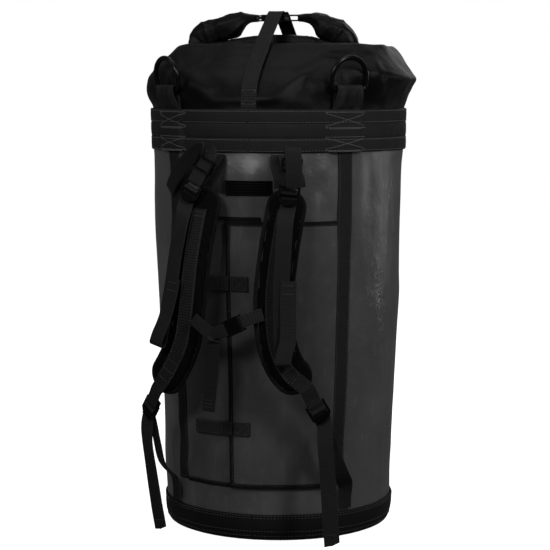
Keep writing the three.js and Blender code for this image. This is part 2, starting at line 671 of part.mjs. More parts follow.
function addChestStrap() {
  const frame = chestFrame();
  const scaled = frame.clone().scale(new THREE.Vector3(chestScale, chestScale, chestScale));
  const width = chestWebbing;
  const thick = 1.6;
  const side = axisOf(frame, 0);
  add("sternum_buckle_female", femaleBuckle().applyMatrix4(scaled), "plastic");
  add("sternum_buckle_male", maleBuckle().applyMatrix4(scaled), "plastic");

  const femaleBar = frameAt(placed(scaled, 0, -28, 0).toArray(), chestOut.clone().negate().toArray(), [0, -1, 0]);
  const right = [
    ...loopLine(femaleBar, 3.5, 6, 7).reverse(),
    vec([12, -274.5, 374]), vec([24, -272, 379]), vec([37, -269.5, 383]),
  ];
  add("sternum_web_right", strap(right, { width, thick, side }), "webbing");

  const left = smooth([[-43, -272, 348.8], [-48, -272.5, 351.5], [-59, -273.5, 360], [-76, -272, 374]], 2);
  const inPlane = turning(side, vec([0.6, 0, 0.8]), 0, left.length - 1);
  add("sternum_web_left", strap(left, { width, thick, side: inPlane }), "webbing");

  const maleBar = frameAt(placed(scaled, 0, 12.5, 0).toArray(), chestOut.toArray(), [0, -1, 0]);
  const loop = loopLine(maleBar, 3.5, 16, 20).reverse();
  const tail = smooth([loop.at(-1), [-42, -276, 338], [-43, -275, 320], [-45, -272, 290], [-52, -268, 226]], 2);
  const line = [...loop, ...tail.slice(1)];
  const turn = turning(side, vec([0.99, 0, 0.1]), loop.length - 1, loop.length + 3);
  add("sternum_tail", strap(line, { width, thick, side: turn }), "webbing");
}

// Straps that tie each pad's lower lock to the foot of the bag.
const lowerEnds = {
  left: { phi: -46, route: [[-160, -196, 165], [-157, -172, 118]] },
  right: { phi: 46, route: [[133, -208, 165], [144, -180, 118]] },
};

function addLowerStraps() {
  for (const [side, { phi, route }] of Object.entries(lowerEnds)) {
    const { frame } = locks[`lower_${side}`];
    const start = placed(frame, 0, -30, -9.5);
    const foot = [[86, 9], [68, 6.4], [50, 6.2]].map(([z, off]) => onBag(phi, z, off));
    const line = smooth([start, ...route, ...foot], 3);
    const turned = turning(axisOf(frame, 0), acrossAt(phi), 2, line.length - 4);
    add(`lower_strap_${side}`, strap(line, { side: turned }), "webbing");
  }
}

addShell();
addCollar();
addRoll();
addTopStrap();
addRollBuckle();
addRings();
addPocket();
addPocketTabs();
addBadge();
addTieLoop();
addLocks();
addPads();
addUpperWebs();
addChestStrap();
addLowerStraps();

export default group;
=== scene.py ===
import json
import math

import bmesh
import bpy
from mathutils import Matrix, Vector, noise


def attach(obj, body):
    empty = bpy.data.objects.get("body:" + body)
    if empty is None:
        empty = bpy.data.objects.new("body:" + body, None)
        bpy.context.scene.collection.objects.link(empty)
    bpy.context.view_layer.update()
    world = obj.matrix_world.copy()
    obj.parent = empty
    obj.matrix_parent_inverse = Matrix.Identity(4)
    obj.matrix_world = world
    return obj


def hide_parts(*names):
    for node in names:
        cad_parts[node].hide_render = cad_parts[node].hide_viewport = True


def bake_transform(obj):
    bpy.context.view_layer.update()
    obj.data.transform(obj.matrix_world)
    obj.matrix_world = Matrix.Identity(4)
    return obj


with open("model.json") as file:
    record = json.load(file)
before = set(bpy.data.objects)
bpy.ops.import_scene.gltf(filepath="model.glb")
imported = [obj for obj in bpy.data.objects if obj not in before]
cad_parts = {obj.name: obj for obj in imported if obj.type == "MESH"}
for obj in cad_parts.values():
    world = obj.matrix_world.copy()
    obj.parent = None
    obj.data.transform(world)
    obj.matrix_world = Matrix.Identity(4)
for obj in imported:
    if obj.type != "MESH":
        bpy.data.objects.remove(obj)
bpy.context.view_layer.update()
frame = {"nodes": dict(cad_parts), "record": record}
print("frame loaded")

# camera
camera = {
    "distance": 3.0, "azimuth": 13, "height": 0.740, "tiltDown": 6.17, "lens": 115.66, "shiftLeft": 0.006,
}


def makeCamera():
    data = bpy.data.cameras.new("camera")
    data.lens = camera["lens"]
    data.sensor_width = 36
    data.clip_end = 50
    made = bpy.data.objects.new("camera", data)
    bpy.context.scene.collection.objects.link(made)
    turn = math.radians(camera["azimuth"])
    aside = Vector((math.cos(turn), math.sin(turn), 0)) * camera["shiftLeft"]
    made.location = Vector((math.sin(turn), -math.cos(turn), 0)) * camera["distance"] - aside
    made.location.z = camera["height"]
    made.rotation_euler = (math.radians(90 - camera["tiltDown"]), 0, turn)
    bpy.context.scene.camera = made


makeCamera()
print("camera made")

# light, world and floor
softboxes = {
    # place, size, watts, turned towards the middle of the bag
    "keyRight": {"place": (1.9, -1.5, 1.95), "size": (0.35, 0.8), "power": 30},
    "rimRight": {"place": (2.25, 1.2, 0.62), "size": (0.1, 0.2), "power": 3.5},
    "fillLeft": {"place": (-2.3, -1.2, 2.1), "size": (0.5, 1.4), "power": 5},
    "front": {"place": (-0.6, -2.9, 2.1), "size": (1.0, 0.5), "power": 32},
    "top": {"place": (0.0, 0.0, 3.0), "size": (1.8, 1.8), "power": 12},
    "back": {"place": (0.4, 3.0, 2.0), "size": (2.6, 2.0), "power": 9},
}
studio = {"world": 0.085, "backdrop": 1.0, "floorTone": 0.9, "floorGlow": 0.93, "floorRadius": 60.0}


def makeLights():
    for name, box in softboxes.items():
        data = bpy.data.lights.new(name, "AREA")
        data.shape = "RECTANGLE"
        data.size, data.size_y = box["size"]
        data.energy = box["power"]
        made = bpy.data.objects.new(name, data)
        bpy.context.scene.collection.objects.link(made)
        made.location = box["place"]
        aim = Vector((0, 0, 0.42)) - made.location
        made.rotation_euler = aim.to_track_quat("-Z", "Y").to_euler()
    world = bpy.data.worlds.new("studio")
    bpy.context.scene.world = world
    world.use_nodes = True
    tree = world.node_tree
    tree.nodes.clear()
    around = tree.nodes.new("ShaderNodeBackground")
    around.inputs["Strength"].default_value = studio["world"]
    behind = tree.nodes.new("ShaderNodeBackground")
    behind.inputs["Strength"].default_value = studio["backdrop"]
    for shade in (around, behind):
        shade.inputs["Color"].default_value = (1, 1, 1, 1)
    path = tree.nodes.new("ShaderNodeLightPath")
    mix = tree.nodes.new("ShaderNodeMixShader")
    out = tree.nodes.new("ShaderNodeOutputWorld")
    tree.links.new(path.outputs["Is Camera Ray"], mix.inputs[0])
    tree.links.new(around.outputs[0], mix.inputs[1])
    tree.links.new(behind.outputs[0], mix.inputs[2])
    tree.links.new(mix.outputs[0], out.inputs[0])
    bpy.context.scene.view_settings.view_transform = "Standard"


def makeFloor():
    bm = bmesh.new()
    bmesh.ops.create_circle(bm, cap_ends=True, segments=96, radius=studio["floorRadius"])
    mesh = bpy.data.meshes.new("floor")
    bm.to_mesh(mesh)
    bm.free()
    made = bpy.data.objects.new("floor", mesh)
    bpy.context.scene.collection.objects.link(made)
    paint = bpy.data.materials.new("floorPaint")
    paint.use_nodes = True
    shader = paint.node_tree.nodes["Principled BSDF"]
    tone = studio["floorTone"]
    shader.inputs["Base Color"].default_value = (tone, tone, tone, 1)
    shader.inputs["Roughness"].default_value = 0.85
    shader.inputs["Specular IOR Level"].default_value = 0.1
    shader.inputs["Emission Color"].default_value = (1, 1, 1, 1)
    shader.inputs["Emission Strength"].default_value = studio["floorGlow"]
    mesh.materials.append(paint)
    # the white floor doesn't light the bag from below
    made.visible_diffuse = False
    made.visible_glossy = False


makeLights()
makeFloor()
print("studio made")


# writing materials
class Wire:
    # an output socket that sums and products can be written with
    def __init__(self, finish, socket):
        self.finish = finish
        self.socket = socket

    def sum(self, operation, *values):
        return self.finish.node("ShaderNodeMath", {"operation": operation}, dict(enumerate(values)))

    def __add__(self, other):
        return self.sum("ADD", self, other)

    def __radd__(self, other):
        return self.sum("ADD", other, self)

    def __sub__(self, other):
        return self.sum("SUBTRACT", self, other)

    def __rsub__(self, other):
        return self.sum("SUBTRACT", other, self)

    def __mul__(self, other):
        return self.sum("MULTIPLY", self, other)

    def __rmul__(self, other):
        return self.sum("MULTIPLY", other, self)

    def __pow__(self, other):
        return self.sum("POWER", self, other)

    def __abs__(self):
        return self.sum("ABSOLUTE", self)

    def sine(self):
        return self.sum("SINE", self)

    def between(self, low, high):
        # 0 below low, 1 above high, smooth in between
        values = {"Value": self, "From Min": low, "From Max": high}
        return self.finish.node("ShaderNodeMapRange", {"interpolation_type": "SMOOTHSTEP"}, values)


class Finish:
    def __init__(self, name):
        self.material = bpy.data.materials.new(name)
        self.material.use_nodes = True
        self.tree = self.material.node_tree
        self.tree.nodes.clear()

    def node(self, kind, settings=None, values=None, output=0):
        made = self.tree.nodes.new(kind)
        for key, value in (settings or {}).items():
            setattr(made, key, value)
        for key, value in (values or {}).items():
            if isinstance(value, Wire):
                self.tree.links.new(value.socket, made.inputs[key])
            else:
                made.inputs[key].default_value = value
        return Wire(self, made.outputs[output] if made.outputs else None)

    def place(self):
        return self.node("ShaderNodeTexCoord", output="Object")

    def onCloth(self):
        # distance along and across the piece, in metres
        spread = self.node("ShaderNodeUVMap", {"uv_map": "UVMap"})
        split = self.node("ShaderNodeSeparateXYZ", None, {0: spread})
        return split, Wire(self, split.socket.node.outputs[1])

    def cloud(self, scale, detail=2, rough=0.5, where=None, stretch=(1, 1, 1)):
        spot = self.node("ShaderNodeMapping", None, {"Vector": where or self.place(), "Scale": stretch})
        values = {"Vector": spot, "Scale": scale, "Detail": detail, "Roughness": rough}
        return self.node("ShaderNodeTexNoise", None, values)

    def blend(self, share, first, second):
        values = {0: share, 6: (*first, 1) if isinstance(first, tuple) else first}
        values[7] = (*second, 1) if isinstance(second, tuple) else second
        return self.node("ShaderNodeMix", {"data_type": "RGBA"}, values, output=2)

    def bumps(self, height, distance, strength=1.0, under=None):
        values = {"Height": height, "Distance": distance, "Strength": strength}
        if under:
            values["Normal"] = under
        return self.node("ShaderNodeBump", None, values)

    def surface(self, colour, roughness, normal=None, **fixed):
        values = {"Base Color": colour, "Roughness": roughness, **fixed}
        if isinstance(colour, tuple):
            values["Base Color"] = (*colour, 1)
        if normal:
            values["Normal"] = normal
        shader = self.node("ShaderNodeBsdfPrincipled", None, values)
        self.node("ShaderNodeOutputMaterial", None, {"Surface": shader})
        return self.material


def grey(tone, warm=0.0):
    return (tone * (1 + warm), tone, tone * (1 - warm))


# Coated cloth of the body: glossy, with the weave of the scrim just showing through.
def coatedCloth(name, tone, gloss, wrinkle, weave=0.00035, shine=0.5):
    f = Finish(name)
    along, up = f.onCloth()
    scrim = (along * 3300).sine() * (up * 3300).sine()
    pebble = f.cloud(900, 2)
    creases = f.cloud(26, 5, 0.6)
    scuffs = f.cloud(70, 6, 0.7, stretch=(1, 1, 0.35)).between(0.5, 0.78)
    dust = f.cloud(9, 3)
    colour = f.blend(dust.between(0.3, 0.75), grey(tone * 0.85), grey(tone * 1.2))
    colour = f.blend(scuffs * 0.35, colour, grey(tone * 1.9))
    fine = f.bumps(scrim * 0.5 + pebble, weave, 0.35)
    normal = f.bumps(creases, wrinkle, 0.5, fine)
    roughness = gloss + dust * 0.10 + scuffs * 0.14
    return f.surface(colour, roughness, normal, **{"Specular IOR Level": shine})


# Woven webbing: rows of picks across the strap, split into narrow columns along it.
def wovenWebbing(name, tone, pick=0.0021, column=0.0016, rib=0.0004, half=0.0125):
    f = Finish(name)
    along, across = f.onCloth()
    turns = 2 * math.pi
    columns = (across * (turns / column)).sine()
    picks = (along * (turns / pick) + columns * 1.1).sine()
    height = picks * 0.55 + columns * 0.35 + f.cloud(2500, 2) * 0.5
    # edge marks both edges of the strap, which are painted lighter: a painted highlight along the edges
    edge = abs(across).between(half * 0.86, half)
    wear = f.cloud(60, 4, 0.6).between(0.42, 0.8)
    lit = (picks * 0.5 + 0.5) * 0.5 + columns * 0.1
    colour = f.blend(lit, grey(tone * 0.62), grey(tone * 1.45))
    # the colour lightens along the edges (painted highlight) and in worn patches (real wear)
    colour = f.blend(edge * 0.35 + wear * 0.15, colour, grey(tone * 2.1))
    normal = f.bumps(height, rib, 0.8)
    return f.surface(colour, 0.55 + wear * 0.15, normal, **{"Specular IOR Level": 0.14})


def meshCloth(name, tone):
    f = Finish(name)
    spot = f.place()
    cells = {"Vector": spot, "Scale": 420, "Randomness": 0.25}
    hole = f.node("ShaderNodeTexVoronoi", {"feature": "F1"}, cells, output="Distance")
    # 1 inside the holes of the mesh: the holes are sunk in the bump and painted dark, a painted shade inside
    #                                 them
    shadedHoles = 1 - hole.between(0.25, 0.55)
    fuzz = f.cloud(1600, 3)
    colour = f.blend(shadedHoles, grey(tone), grey(tone * 0.25))
    colour = f.blend(f.cloud(40, 3).between(0.45, 0.8) * 0.3, colour, grey(tone * 1.8))
    normal = f.bumps(fuzz * 0.3 - shadedHoles, 0.0009, 0.8)
    return f.surface(colour, 0.85, normal, **{"Specular IOR Level": 0.08})


def mouldedPlastic(name, tone, gloss=0.36):
    f = Finish(name)
    grain = f.cloud(1400, 3)
    worn = f.cloud(180, 5, 0.65).between(0.5, 0.75)
    colour = f.blend(worn * 0.4, grey(tone), grey(tone * 2.0))
    normal = f.bumps(grain, 0.0002, 0.5)
    return f.surface(colour, gloss + worn * 0.12, normal, **{"Specular IOR Level": 0.16})


def blackenedSteel(name, tone):
    f = Finish(name)
    orange = f.cloud(700, 3)
    rub = f.cloud(90, 5, 0.7).between(0.55, 0.8)
    colour = f.blend(rub * 0.5, grey(tone), grey(tone * 4))
    normal = f.bumps(orange, 0.0003, 0.35)
    return f.surface(colour, 0.24 + rub * 0.15, normal, **{"Specular IOR Level": 0.2})


def softRubber(name, tone):
    f = Finish(name)
    grain = f.cloud(1100, 3)
    dust = f.cloud(60, 4).between(0.4, 0.8)
    colour = f.blend(dust * 0.3, grey(tone), grey(tone * 2.2))
    return f.surface(colour, 0.55 + dust * 0.15, f.bumps(grain, 0.0002, 0.6), **{"Specular IOR Level": 0.07})


def twistedThread(name, tone):
    f = Finish(name)
    ply = f.cloud(3000, 2)
    colour = f.blend(ply, grey(tone * 0.7), grey(tone * 1.25))
    return f.surface(colour, 0.6, f.bumps(ply, 0.0002, 0.6), **{"Sheen Weight": 0.2})


finishes = {
    "tarpaulin": coatedCloth("tarpaulin", 0.062, 0.24, 0.0035, shine=0.7),
    "flapCloth": coatedCloth("flapCloth", 0.048, 0.31, 0.0025, shine=0.5),
    "collarCloth": coatedCloth("collarCloth", 0.0032, 0.30, 0.004, shine=0.09),
    "hemCloth": coatedCloth("hemCloth", 0.006, 0.5, 0.002, 0.0006, 0.12),
    "bandWeave": wovenWebbing("bandWeave", 0.015, 0.0026, 0.0022, 0.0004, 9.0),
    "webbing": wovenWebbing("webbing", 0.0125),
    "narrowWebbing": wovenWebbing("narrowWebbing", 0.010, half=0.010),
    "ribbedWebbing": wovenWebbing("ribbedWebbing", 0.015, 0.0042, 0.0036, 0.0010),
    "binding": wovenWebbing("binding", 0.0035, 0.0016, 0.0011, 0.0003, 9.0),
    "padMesh": meshCloth("padMesh", 0.0022),
    "plastic": mouldedPlastic("plastic", 0.0010, 0.2),
    "ringMetal": blackenedSteel("ringMetal", 0.0016),
    "badgeRubber": softRubber("badgeRubber", 0.0012),
    "paleThread": twistedThread("paleThread", 0.12),
    "darkThread": twistedThread("darkThread", 0.05),
}
print("finishes made")


# making pieces; lengths are in millimetres until a piece is finished
def finished(name, bm, body, finish, replaces=(), thick=None, offset=0, bevel=None, turn=False):
    if turn:
        bmesh.ops.recalc_face_normals(bm, faces=bm.faces[:])
    bmesh.ops.scale(bm, vec=(0.001, 0.001, 0.001), verts=bm.verts[:])
    for face in bm.faces:
        face.smooth = True
    mesh = bpy.data.meshes.new(name)
    bm.to_mesh(mesh)
    bm.free()
    made = bpy.data.objects.new(name, mesh)
    bpy.context.scene.collection.objects.link(made)
    mesh.materials.append(finishes[finish])
    if thick:
        wall = made.modifiers.new("thickness", "SOLIDIFY")
        wall.thickness = thick / 1000
        wall.offset = offset
    if bevel:
        edge = made.modifiers.new("edge", "BEVEL")
        edge.width = bevel / 1000
        edge.segments = 2
        edge.limit_method = "ANGLE"
        edge.angle_limit = math.radians(50)
    if body:
        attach(made, body)
    if replaces:
        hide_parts(*replaces)
    return made


def sheet(columns, rows, place, uv, wrapped=False, bm=None):
    # a grid whose u and v run from 0 to 1, put in place point by point
    bm = bm or bmesh.new()
    layer = bm.loops.layers.uv.get("UVMap") or bm.loops.layers.uv.new("UVMap")
    old = set(bm.faces)
    made = bmesh.ops.create_grid(bm, x_segments=columns, y_segments=rows, size=1)["verts"]
    for face in bm.faces:
        if face not in old:
            for loop in face.loops:
                u, v = (loop.vert.co.x + 1) / 2, (loop.vert.co.y + 1) / 2
                loop[layer].uv = uv(u, v)
    for vert in made:
        vert.co = place((vert.co.x + 1) / 2, (vert.co.y + 1) / 2)
    if wrapped:
        bmesh.ops.remove_doubles(bm, verts=made, dist=0.01)
    return bm


def titled(name):
    return "".join(part.capitalize() for part in name.split("_"))


def smoothStep(low, high, value):
    share = min(max((value - low) / (high - low), 0.0), 1.0)
    return share * share * (3 - 2 * share)


def mixed(a, b, share):
    return a + (b - a) * share


def softNoise(x, y, z, seed=0.0):
    return noise.noise(Vector((x + seed * 17.3, y - seed * 9.1, z + seed * 4.7)))


def curvePoints(points, step):
    # centripetal curve through the points, resampled about every step millimetres
    pts = [Vector(p) for p in points]
    ends = [pts[0] * 2 - pts[1], *pts, pts[-1] * 2 - pts[-2]]
    line = []
    for i in range(1, len(ends) - 2):
        p0, p1, p2, p3 = ends[i - 1:i + 3]
        t = [0.0]
        for a, b in ((p0, p1), (p1, p2), (p2, p3)):
            t.append(t[-1] + max((b - a).length, 1e-4) ** 0.5)
        count = max(1, round((p2 - p1).length / step))
        for k in range(count):
            s = mixed(t[1], t[2], k / count)
            a1 = p0.lerp(p1, (s - t[0]) / (t[1] - t[0]))
            a2 = p1.lerp(p2, (s - t[1]) / (t[2] - t[1]))
            a3 = p2.lerp(p3, (s - t[2]) / (t[3] - t[2]))
            b1 = a1.lerp(a2, (s - t[0]) / (t[2] - t[0]))
            b2 = a2.lerp(a3, (s - t[1]) / (t[3] - t[1]))
            line.append(b1.lerp(b2, (s - t[1]) / (t[2] - t[1])))
    line.append(pts[-1])
    return line


def lengthsOf(line):
    sums = [0.0]
    for a, b in zip(line, line[1:]):
        sums.append(sums[-1] + (b - a).length)
    return sums


def directionAt(line, i):
    return (line[min(i + 1, len(line) - 1)] - line[max(i - 1, 0)]).normalized()


class Route:
    # a strap's way: its middle line, the direction across it and out of its face, and its lengths
    def __init__(self, points, side, step=2.5):
        self.line = curvePoints(points, step)
        self.lengths = lengthsOf(self.line)
        self.total = self.lengths[-1]
        self.across, self.face = [], []
        for i, p in enumerate(self.line):
            along = directionAt(self.line, i)
            aside = side(p, self.lengths[i] / self.total)
            aside = (aside - along * aside.dot(along)).normalized()
            self.across.append(aside)
            self.face.append(aside.cross(along))

    def at(self, share, aside=0.0, out=0.0):
        where = share * (len(self.line) - 1)
        i = min(int(where), len(self.line) - 2)
        k = where - i
        p = self.line[i].lerp(self.line[i + 1], k)
        across = self.across[i].lerp(self.across[i + 1], k)
        face = self.face[i].lerp(self.face[i + 1], k)
        return p + across * aside + face * out


def ribbon(name, route, width, body, finish="webbing", replaces=(), thick=1.7, columns=6,
           cut=0.0, ripple=0.25, bm=None):
    # flat webbing along a route; cut slants its far end; width is a number or a function of the share
    widthAt = width if callable(width) else lambda share: width
    rows = len(route.line) - 1

    def place(u, v):
        share = v
        if cut and v > 0.9:
            share = v - (v - 0.9) * 10 * cut * (u - 0.5) / route.total
        aside = (u - 0.5) * widthAt(share)
        wave = softNoise(share * route.total / 26, u * 1.3, 0.0, len(name)) * ripple
        return route.at(min(max(share, 0), 1), aside, wave)

    def uv(u, v):
        return v * route.total / 1000, (u - 0.5) * widthAt(v) / 1000

    made = sheet(columns, rows, place, uv, bm=bm)
    if bm:
        return made
    return finished(name, made, body, finish, replaces, thick=thick, bevel=0.35)


def tube(line, sectionAt, around=12, closed=False, bm=None, uvScale=0.001):
    # a tube of a changing section; sectionAt(i, turn) gives the point, turn from 0 to 1
    rows = len(line) - 1
    sums = lengthsOf(line)

    def place(u, v):
        return sectionAt(min(round(v * rows), rows), u)

    def uv(u, v):
        return sums[min(round(v * rows), rows)] * uvScale, u * 0.1

    bm = sheet(around, rows, place, uv, wrapped=True, bm=bm)
    if not closed:
        loose = [e for e in bm.edges if e.is_boundary]
        bmesh.ops.holes_fill(bm, edges=loose, sides=0)
    return bm


def stitches(bm, points, outs, length=2.7, gap=1.7, radius=0.42, lift=0.15):
    # short raised threads along a line of points; outs are the directions out of the cloth
    sums = lengthsOf(points)
    where, i = gap, 0
    while where + length < sums[-1]:
        ends = []
        for s in (where, where + length):
            while i < len(sums) - 2 and sums[i + 1] < s:
                i += 1
            k = (s - sums[i]) / max(sums[i + 1] - sums[i], 1e-6)
            ends.append((points[i].lerp(points[i + 1], k), outs[i]))
        a, up = ends[0]
        b = ends[1][0]
        along = (b - a).normalized()
        x = along.cross(up).normalized()
        basis = Matrix((x, up, along)).transposed().to_4x4()
        basis.translation = (a + b) / 2 + up * lift
        bmesh.ops.create_cone(bm, cap_ends=True, segments=5, radius1=radius * 0.7, radius2=radius,
                              depth=(b - a).length, matrix=basis)
        where += length + gap


# the wall of the bag
wall = {
    "profile": [(0, 186), (25, 191), (170, 194), (400, 205), (600, 210), (700, 212)],
    "smooth": 40, "columns": 256, "rows": 96,
    "broad": 3.4, "pull": 1.5, "fine": 0.5,
}
# soft folds in the wall: from angle and height, to angle and height, width, depth (out is positive)
wallFolds = [
    (26, 622, 44, 470, 16, -3.0), (38, 618, 20, 520, 12, -2.2), (52, 600, 36, 380, 22, 2.4),
    (-30, 560, -12, 470, 16, 2.2), (-62, 600, -38, 500, 20, -2.8), (-70, 470, -48, 330, 24, 2.2),
    (64, 250, 40, 120, 22, -2.6), (-30, 120, -66, 210, 20, -2.4), (60, 420, 74, 260, 26, 2.6),
    (14, 80, 30, 190, 18, 2.0), (-44, 80, -30, 150, 14, 2.0), (120, 600, 100, 430, 24, -3.0),
    (160, 520, 190, 360, 30, 3.0), (205, 240, 240, 110, 26, -3.2), (170, 110, 150, 240, 20, 2.4),
    (230, 600, 252, 450, 22, -3.0), (280, 380, 262, 220, 26, 2.8), (140, 330, 120, 200, 22, -2.4),
]


def plainRadius(z):
    points = wall["profile"]
    z = min(max(z, points[0][0]), points[-1][0])
    for (z0, r0), (z1, r1) in zip(points, points[1:]):
        if z <= z1:
            return mixed(r0, r1, (z - z0) / (z1 - z0))
    return points[-1][1]


def radiusAt(z):
    reach = wall["smooth"] * smoothStep(10, 90, z) * smoothStep(720, 640, z)
    return sum(plainRadius(z + reach * k) for k in (-1, -0.5, 0, 0.5, 1)) / 5


def nearLine(x, y, line):
    # distance from a point to a segment, and how far along it is
    x0, y0, x1, y1 = line
    dx, dy = x1 - x0, y1 - y0
    k = min(max(((x - x0) * dx + (y - y0) * dy) / (dx * dx + dy * dy), 0), 1)
    return math.hypot(x - x0 - dx * k, y - y0 - dy * k), k


def dentAt(phi, z):
    fade = smoothStep(46, 96, z) * smoothStep(634, 606, z)
    if fade <= 0:
        return 0.0
    turn = math.radians(phi)
    c, s = math.cos(turn), math.sin(turn)
    dent = softNoise(c * 1.7, s * 1.7, z / 150, 1) * wall["broad"]
    edge = max(smoothStep(400, 610, z), smoothStep(260, 80, z))
    dent += softNoise(c * 7, s * 7, z / 190, 2) * wall["pull"] * (0.4 + edge)
    dent += softNoise(c * 14, s * 14, z / 36, 3) * wall["fine"]
    for a0, z0, a1, z1, width, depth in wallFolds:
        for whole in (-360, 0, 360):
            if abs(phi + whole - (a0 + a1) / 2) < 40:
                aside = (phi + whole) * 3.5
                gap, k = nearLine(aside, z, (a0 * 3.5, z0, a1 * 3.5, z1))
                if gap < width * 2.5:
                    dent += depth * math.exp(-(gap / width) ** 2) * math.sin(math.pi * (0.08 + 0.84 * k))
    # full cloth hangs out a little just under the band
    brow = 5.0 * math.exp(-(phi / 17) ** 2) + 4.5 * math.exp(-((phi - 33) / 9) ** 2)
    brow *= smoothStep(634, 592, z) * smoothStep(490, 585, z)
    return dent * fade + brow


def outward(phi):
    return Vector((math.sin(math.radians(phi)), -math.cos(math.radians(phi)), 0))


def atRadius(phi, radius, z):
    p = outward(phi) * radius
    p.z = z
    return p


def acrossAt(phi):
    return Vector((math.cos(math.radians(phi)), math.sin(math.radians(phi)), 0))


def angleOf(p):
    return math.degrees(math.atan2(p.x, -p.y))


def onBag(phi, z, off=0.0):
    return atRadius(phi, radiusAt(z) + dentAt(phi, z) + off, z)


def wrapUV(bm, radius=205.0):
    # distance round the bag and height, with the seam at the back
    layer = bm.loops.layers.uv.get("UVMap") or bm.loops.layers.uv.new("UVMap")
    for face in bm.faces:
        middle = angleOf(face.calc_center_median())
        for loop in face.loops:
            phi = angleOf(loop.vert.co)
            if phi - middle > 180:
                phi -= 360
            if middle - phi > 180:
                phi += 360
            rise = loop.vert.co.z if face.normal.z ** 2 < 0.8 else loop.vert.co.xy.length
            loop[layer].uv = (math.radians(phi) * radius / 1000, rise / 1000)


def spun(profile, steps, closed=True):
    # a section of (radius, height) points turned once round the bag
    bm = bmesh.new()
    verts = [bm.verts.new((0, -r, z)) for r, z in profile]
    pairs = list(zip(verts, verts[1:])) + ([(verts[-1], verts[0])] if closed else [])
    edges = [bm.edges.new(pair) for pair in pairs]
    bmesh.ops.spin(bm, geom=verts + edges, axis=(0, 0, 1), cent=(0, 0, 0), dvec=(0, 0, 0),
                   angle=math.tau, steps=steps, use_merge=True)
    bmesh.ops.remove_doubles(bm, verts=bm.verts[:], dist=0.002)
    bmesh.ops.recalc_face_normals(bm, faces=bm.faces[:])
    return bm


def makeWall():
    bottom, top = 4.6, 699.6
    rows = wall["rows"]
    outer = [(radiusAt(z), z) for z in (mixed(bottom, top, i / rows) for i in range(rows + 1))]
    inner = [(radiusAt(z) - 2, z) for z in (mixed(top, bottom, i / 24) for i in range(25))]
    bm = spun(outer + inner, wall["columns"])
    for vert in bm.verts:
        shift = dentAt(angleOf(vert.co), vert.co.z)
        push = vert.co.xy.normalized() * shift
        vert.co.x += push.x
        vert.co.y += push.y
    wrapUV(bm)
    finished("bodyWall", bm, "bag", "tarpaulin", ["body_wall"])


makeWall()
print("wall made")

# base, hem and band
hem = {"bottom": 1.6, "top": 45, "off": 3.3, "corner": 5, "rows": (9, 17, 39, 42.6)}
band = {
    "bottom": 632, "top": 700, "off": 3.5, "groove": 0.9, "seams": (654.6, 677.4),
    "rows": (634.6, 652.2, 679.8, 697.2), "patches": (43, -41, 135, -135), "patchHalf": 27, "rise": 3.4,
    "boxHalf": 38, "perDegree": 3.68,
    "levels": (632, 632.8, 634.5, 638, 643, 648, 652, 653.6, 654.6, 655.6, 657, 662, 667, 672, 675.4, 676.5,
               677.4, 678.4, 680, 684, 690, 695, 698, 699.4, 700),
}


def patchRise(phi):
    # how far the band stands out over the sewn end of a ring's tab
    rise = 0.0
    for patch in band["patches"]:
        gap = abs((phi - patch + 180) % 360 - 180) * band["perDegree"]
        rise = max(rise, band["rise"] * smoothStep(band["patchHalf"] + 3.5, band["patchHalf"] - 1.5, gap))
    return rise


def bandOff(phi, z):
    groove = sum(band["groove"] * math.exp(-((z - seam) / 0.9) ** 2) for seam in band["seams"])
    edges = (band["bottom"], *band["seams"], band["top"])
    bulge = sum(math.sin(math.pi * min(max((z - a) / (b - a), 0), 1)) * 0.5 for a, b in zip(edges, edges[1:]))
    ripple = softNoise(outward(phi).x * 9, outward(phi).y * 9, z / 60, 6) * 0.8
    wave = softNoise(outward(phi).x * 3, outward(phi).y * 3, z / 200, 8) * 0.8
    return band["off"] - groove + bulge + ripple + wave + patchRise(phi)


def bandPoint(phi, z, lift=0.0):
    return atRadius(phi, radiusAt(z) + bandOff(phi, z) + lift, z)


def makeBand():
    outer = [(radiusAt(z) + band["off"], z) for z in band["levels"]]
    inner = [(radiusAt(z) + 0.3, z) for z in (699.4, 666, 632.6)]
    bm = spun(outer + inner, 320)
    for vert in bm.verts:
        r = vert.co.xy.length
        if r > radiusAt(vert.co.z) + 1.5:
            phi = angleOf(vert.co)
            z = vert.co.z + softNoise(outward(phi).x * 6, outward(phi).y * 6, 0, 9) * 0.9
            rim = smoothStep(0, 1.4, z - band["bottom"]) * smoothStep(0, 1.4, band["top"] - z)
            off = radiusAt(vert.co.z) + mixed(bandOff(phi, vert.co.z) - 1.0, bandOff(phi, vert.co.z), rim)
            vert.co = atRadius(phi, off, z)
    wrapUV(bm)
    finished("topBand", bm, "bag", "bandWeave", ["top_band"])


def makeBandStitches():
    bm = bmesh.new()
    for z in band["rows"]:
        angles = [i * 1.5 for i in range(241)]
        points = [bandPoint(phi, z + softNoise(phi / 20, z, 0) * 0.3) for phi in angles]
        stitches(bm, points, [outward(phi) for phi in angles], 3.0, 2.2, 0.4)
    # crossed boxes over the sewn end of each ring's tab
    for patch in band["patches"]:
        h = band["boxHalf"]
        for low, high in ((673, 694), (637, 655)):
            rows = (((-h, high), (h, low)), ((-h, low), (h, high)), ((-h, low - 1.9), (h, low - 1.9)),
                    ((-h + 6, low - 3.6), (h - 6, low - 3.6)), ((-h, high + 1.4), (h, high + 1.4)))
            for a, b in rows:
                steps = [mixed(a[0], b[0], i / 20) for i in range(21)]
                spots = [(patch + x / band["perDegree"], mixed(a[1], b[1], (x - a[0]) / (b[0] - a[0])))
                         for x in steps]
                points = [bandPoint(phi, z, 0.1) for phi, z in spots]
                stitches(bm, points, [outward(phi) for phi, z in spots], 3.4, 1.5, 0.52)
    finished("bandStitches", bm, "bag", "paleThread")


def hemWave(phi, z):
    return softNoise(outward(phi).x * 5, outward(phi).y * 5, z / 30, 11) * 1.1


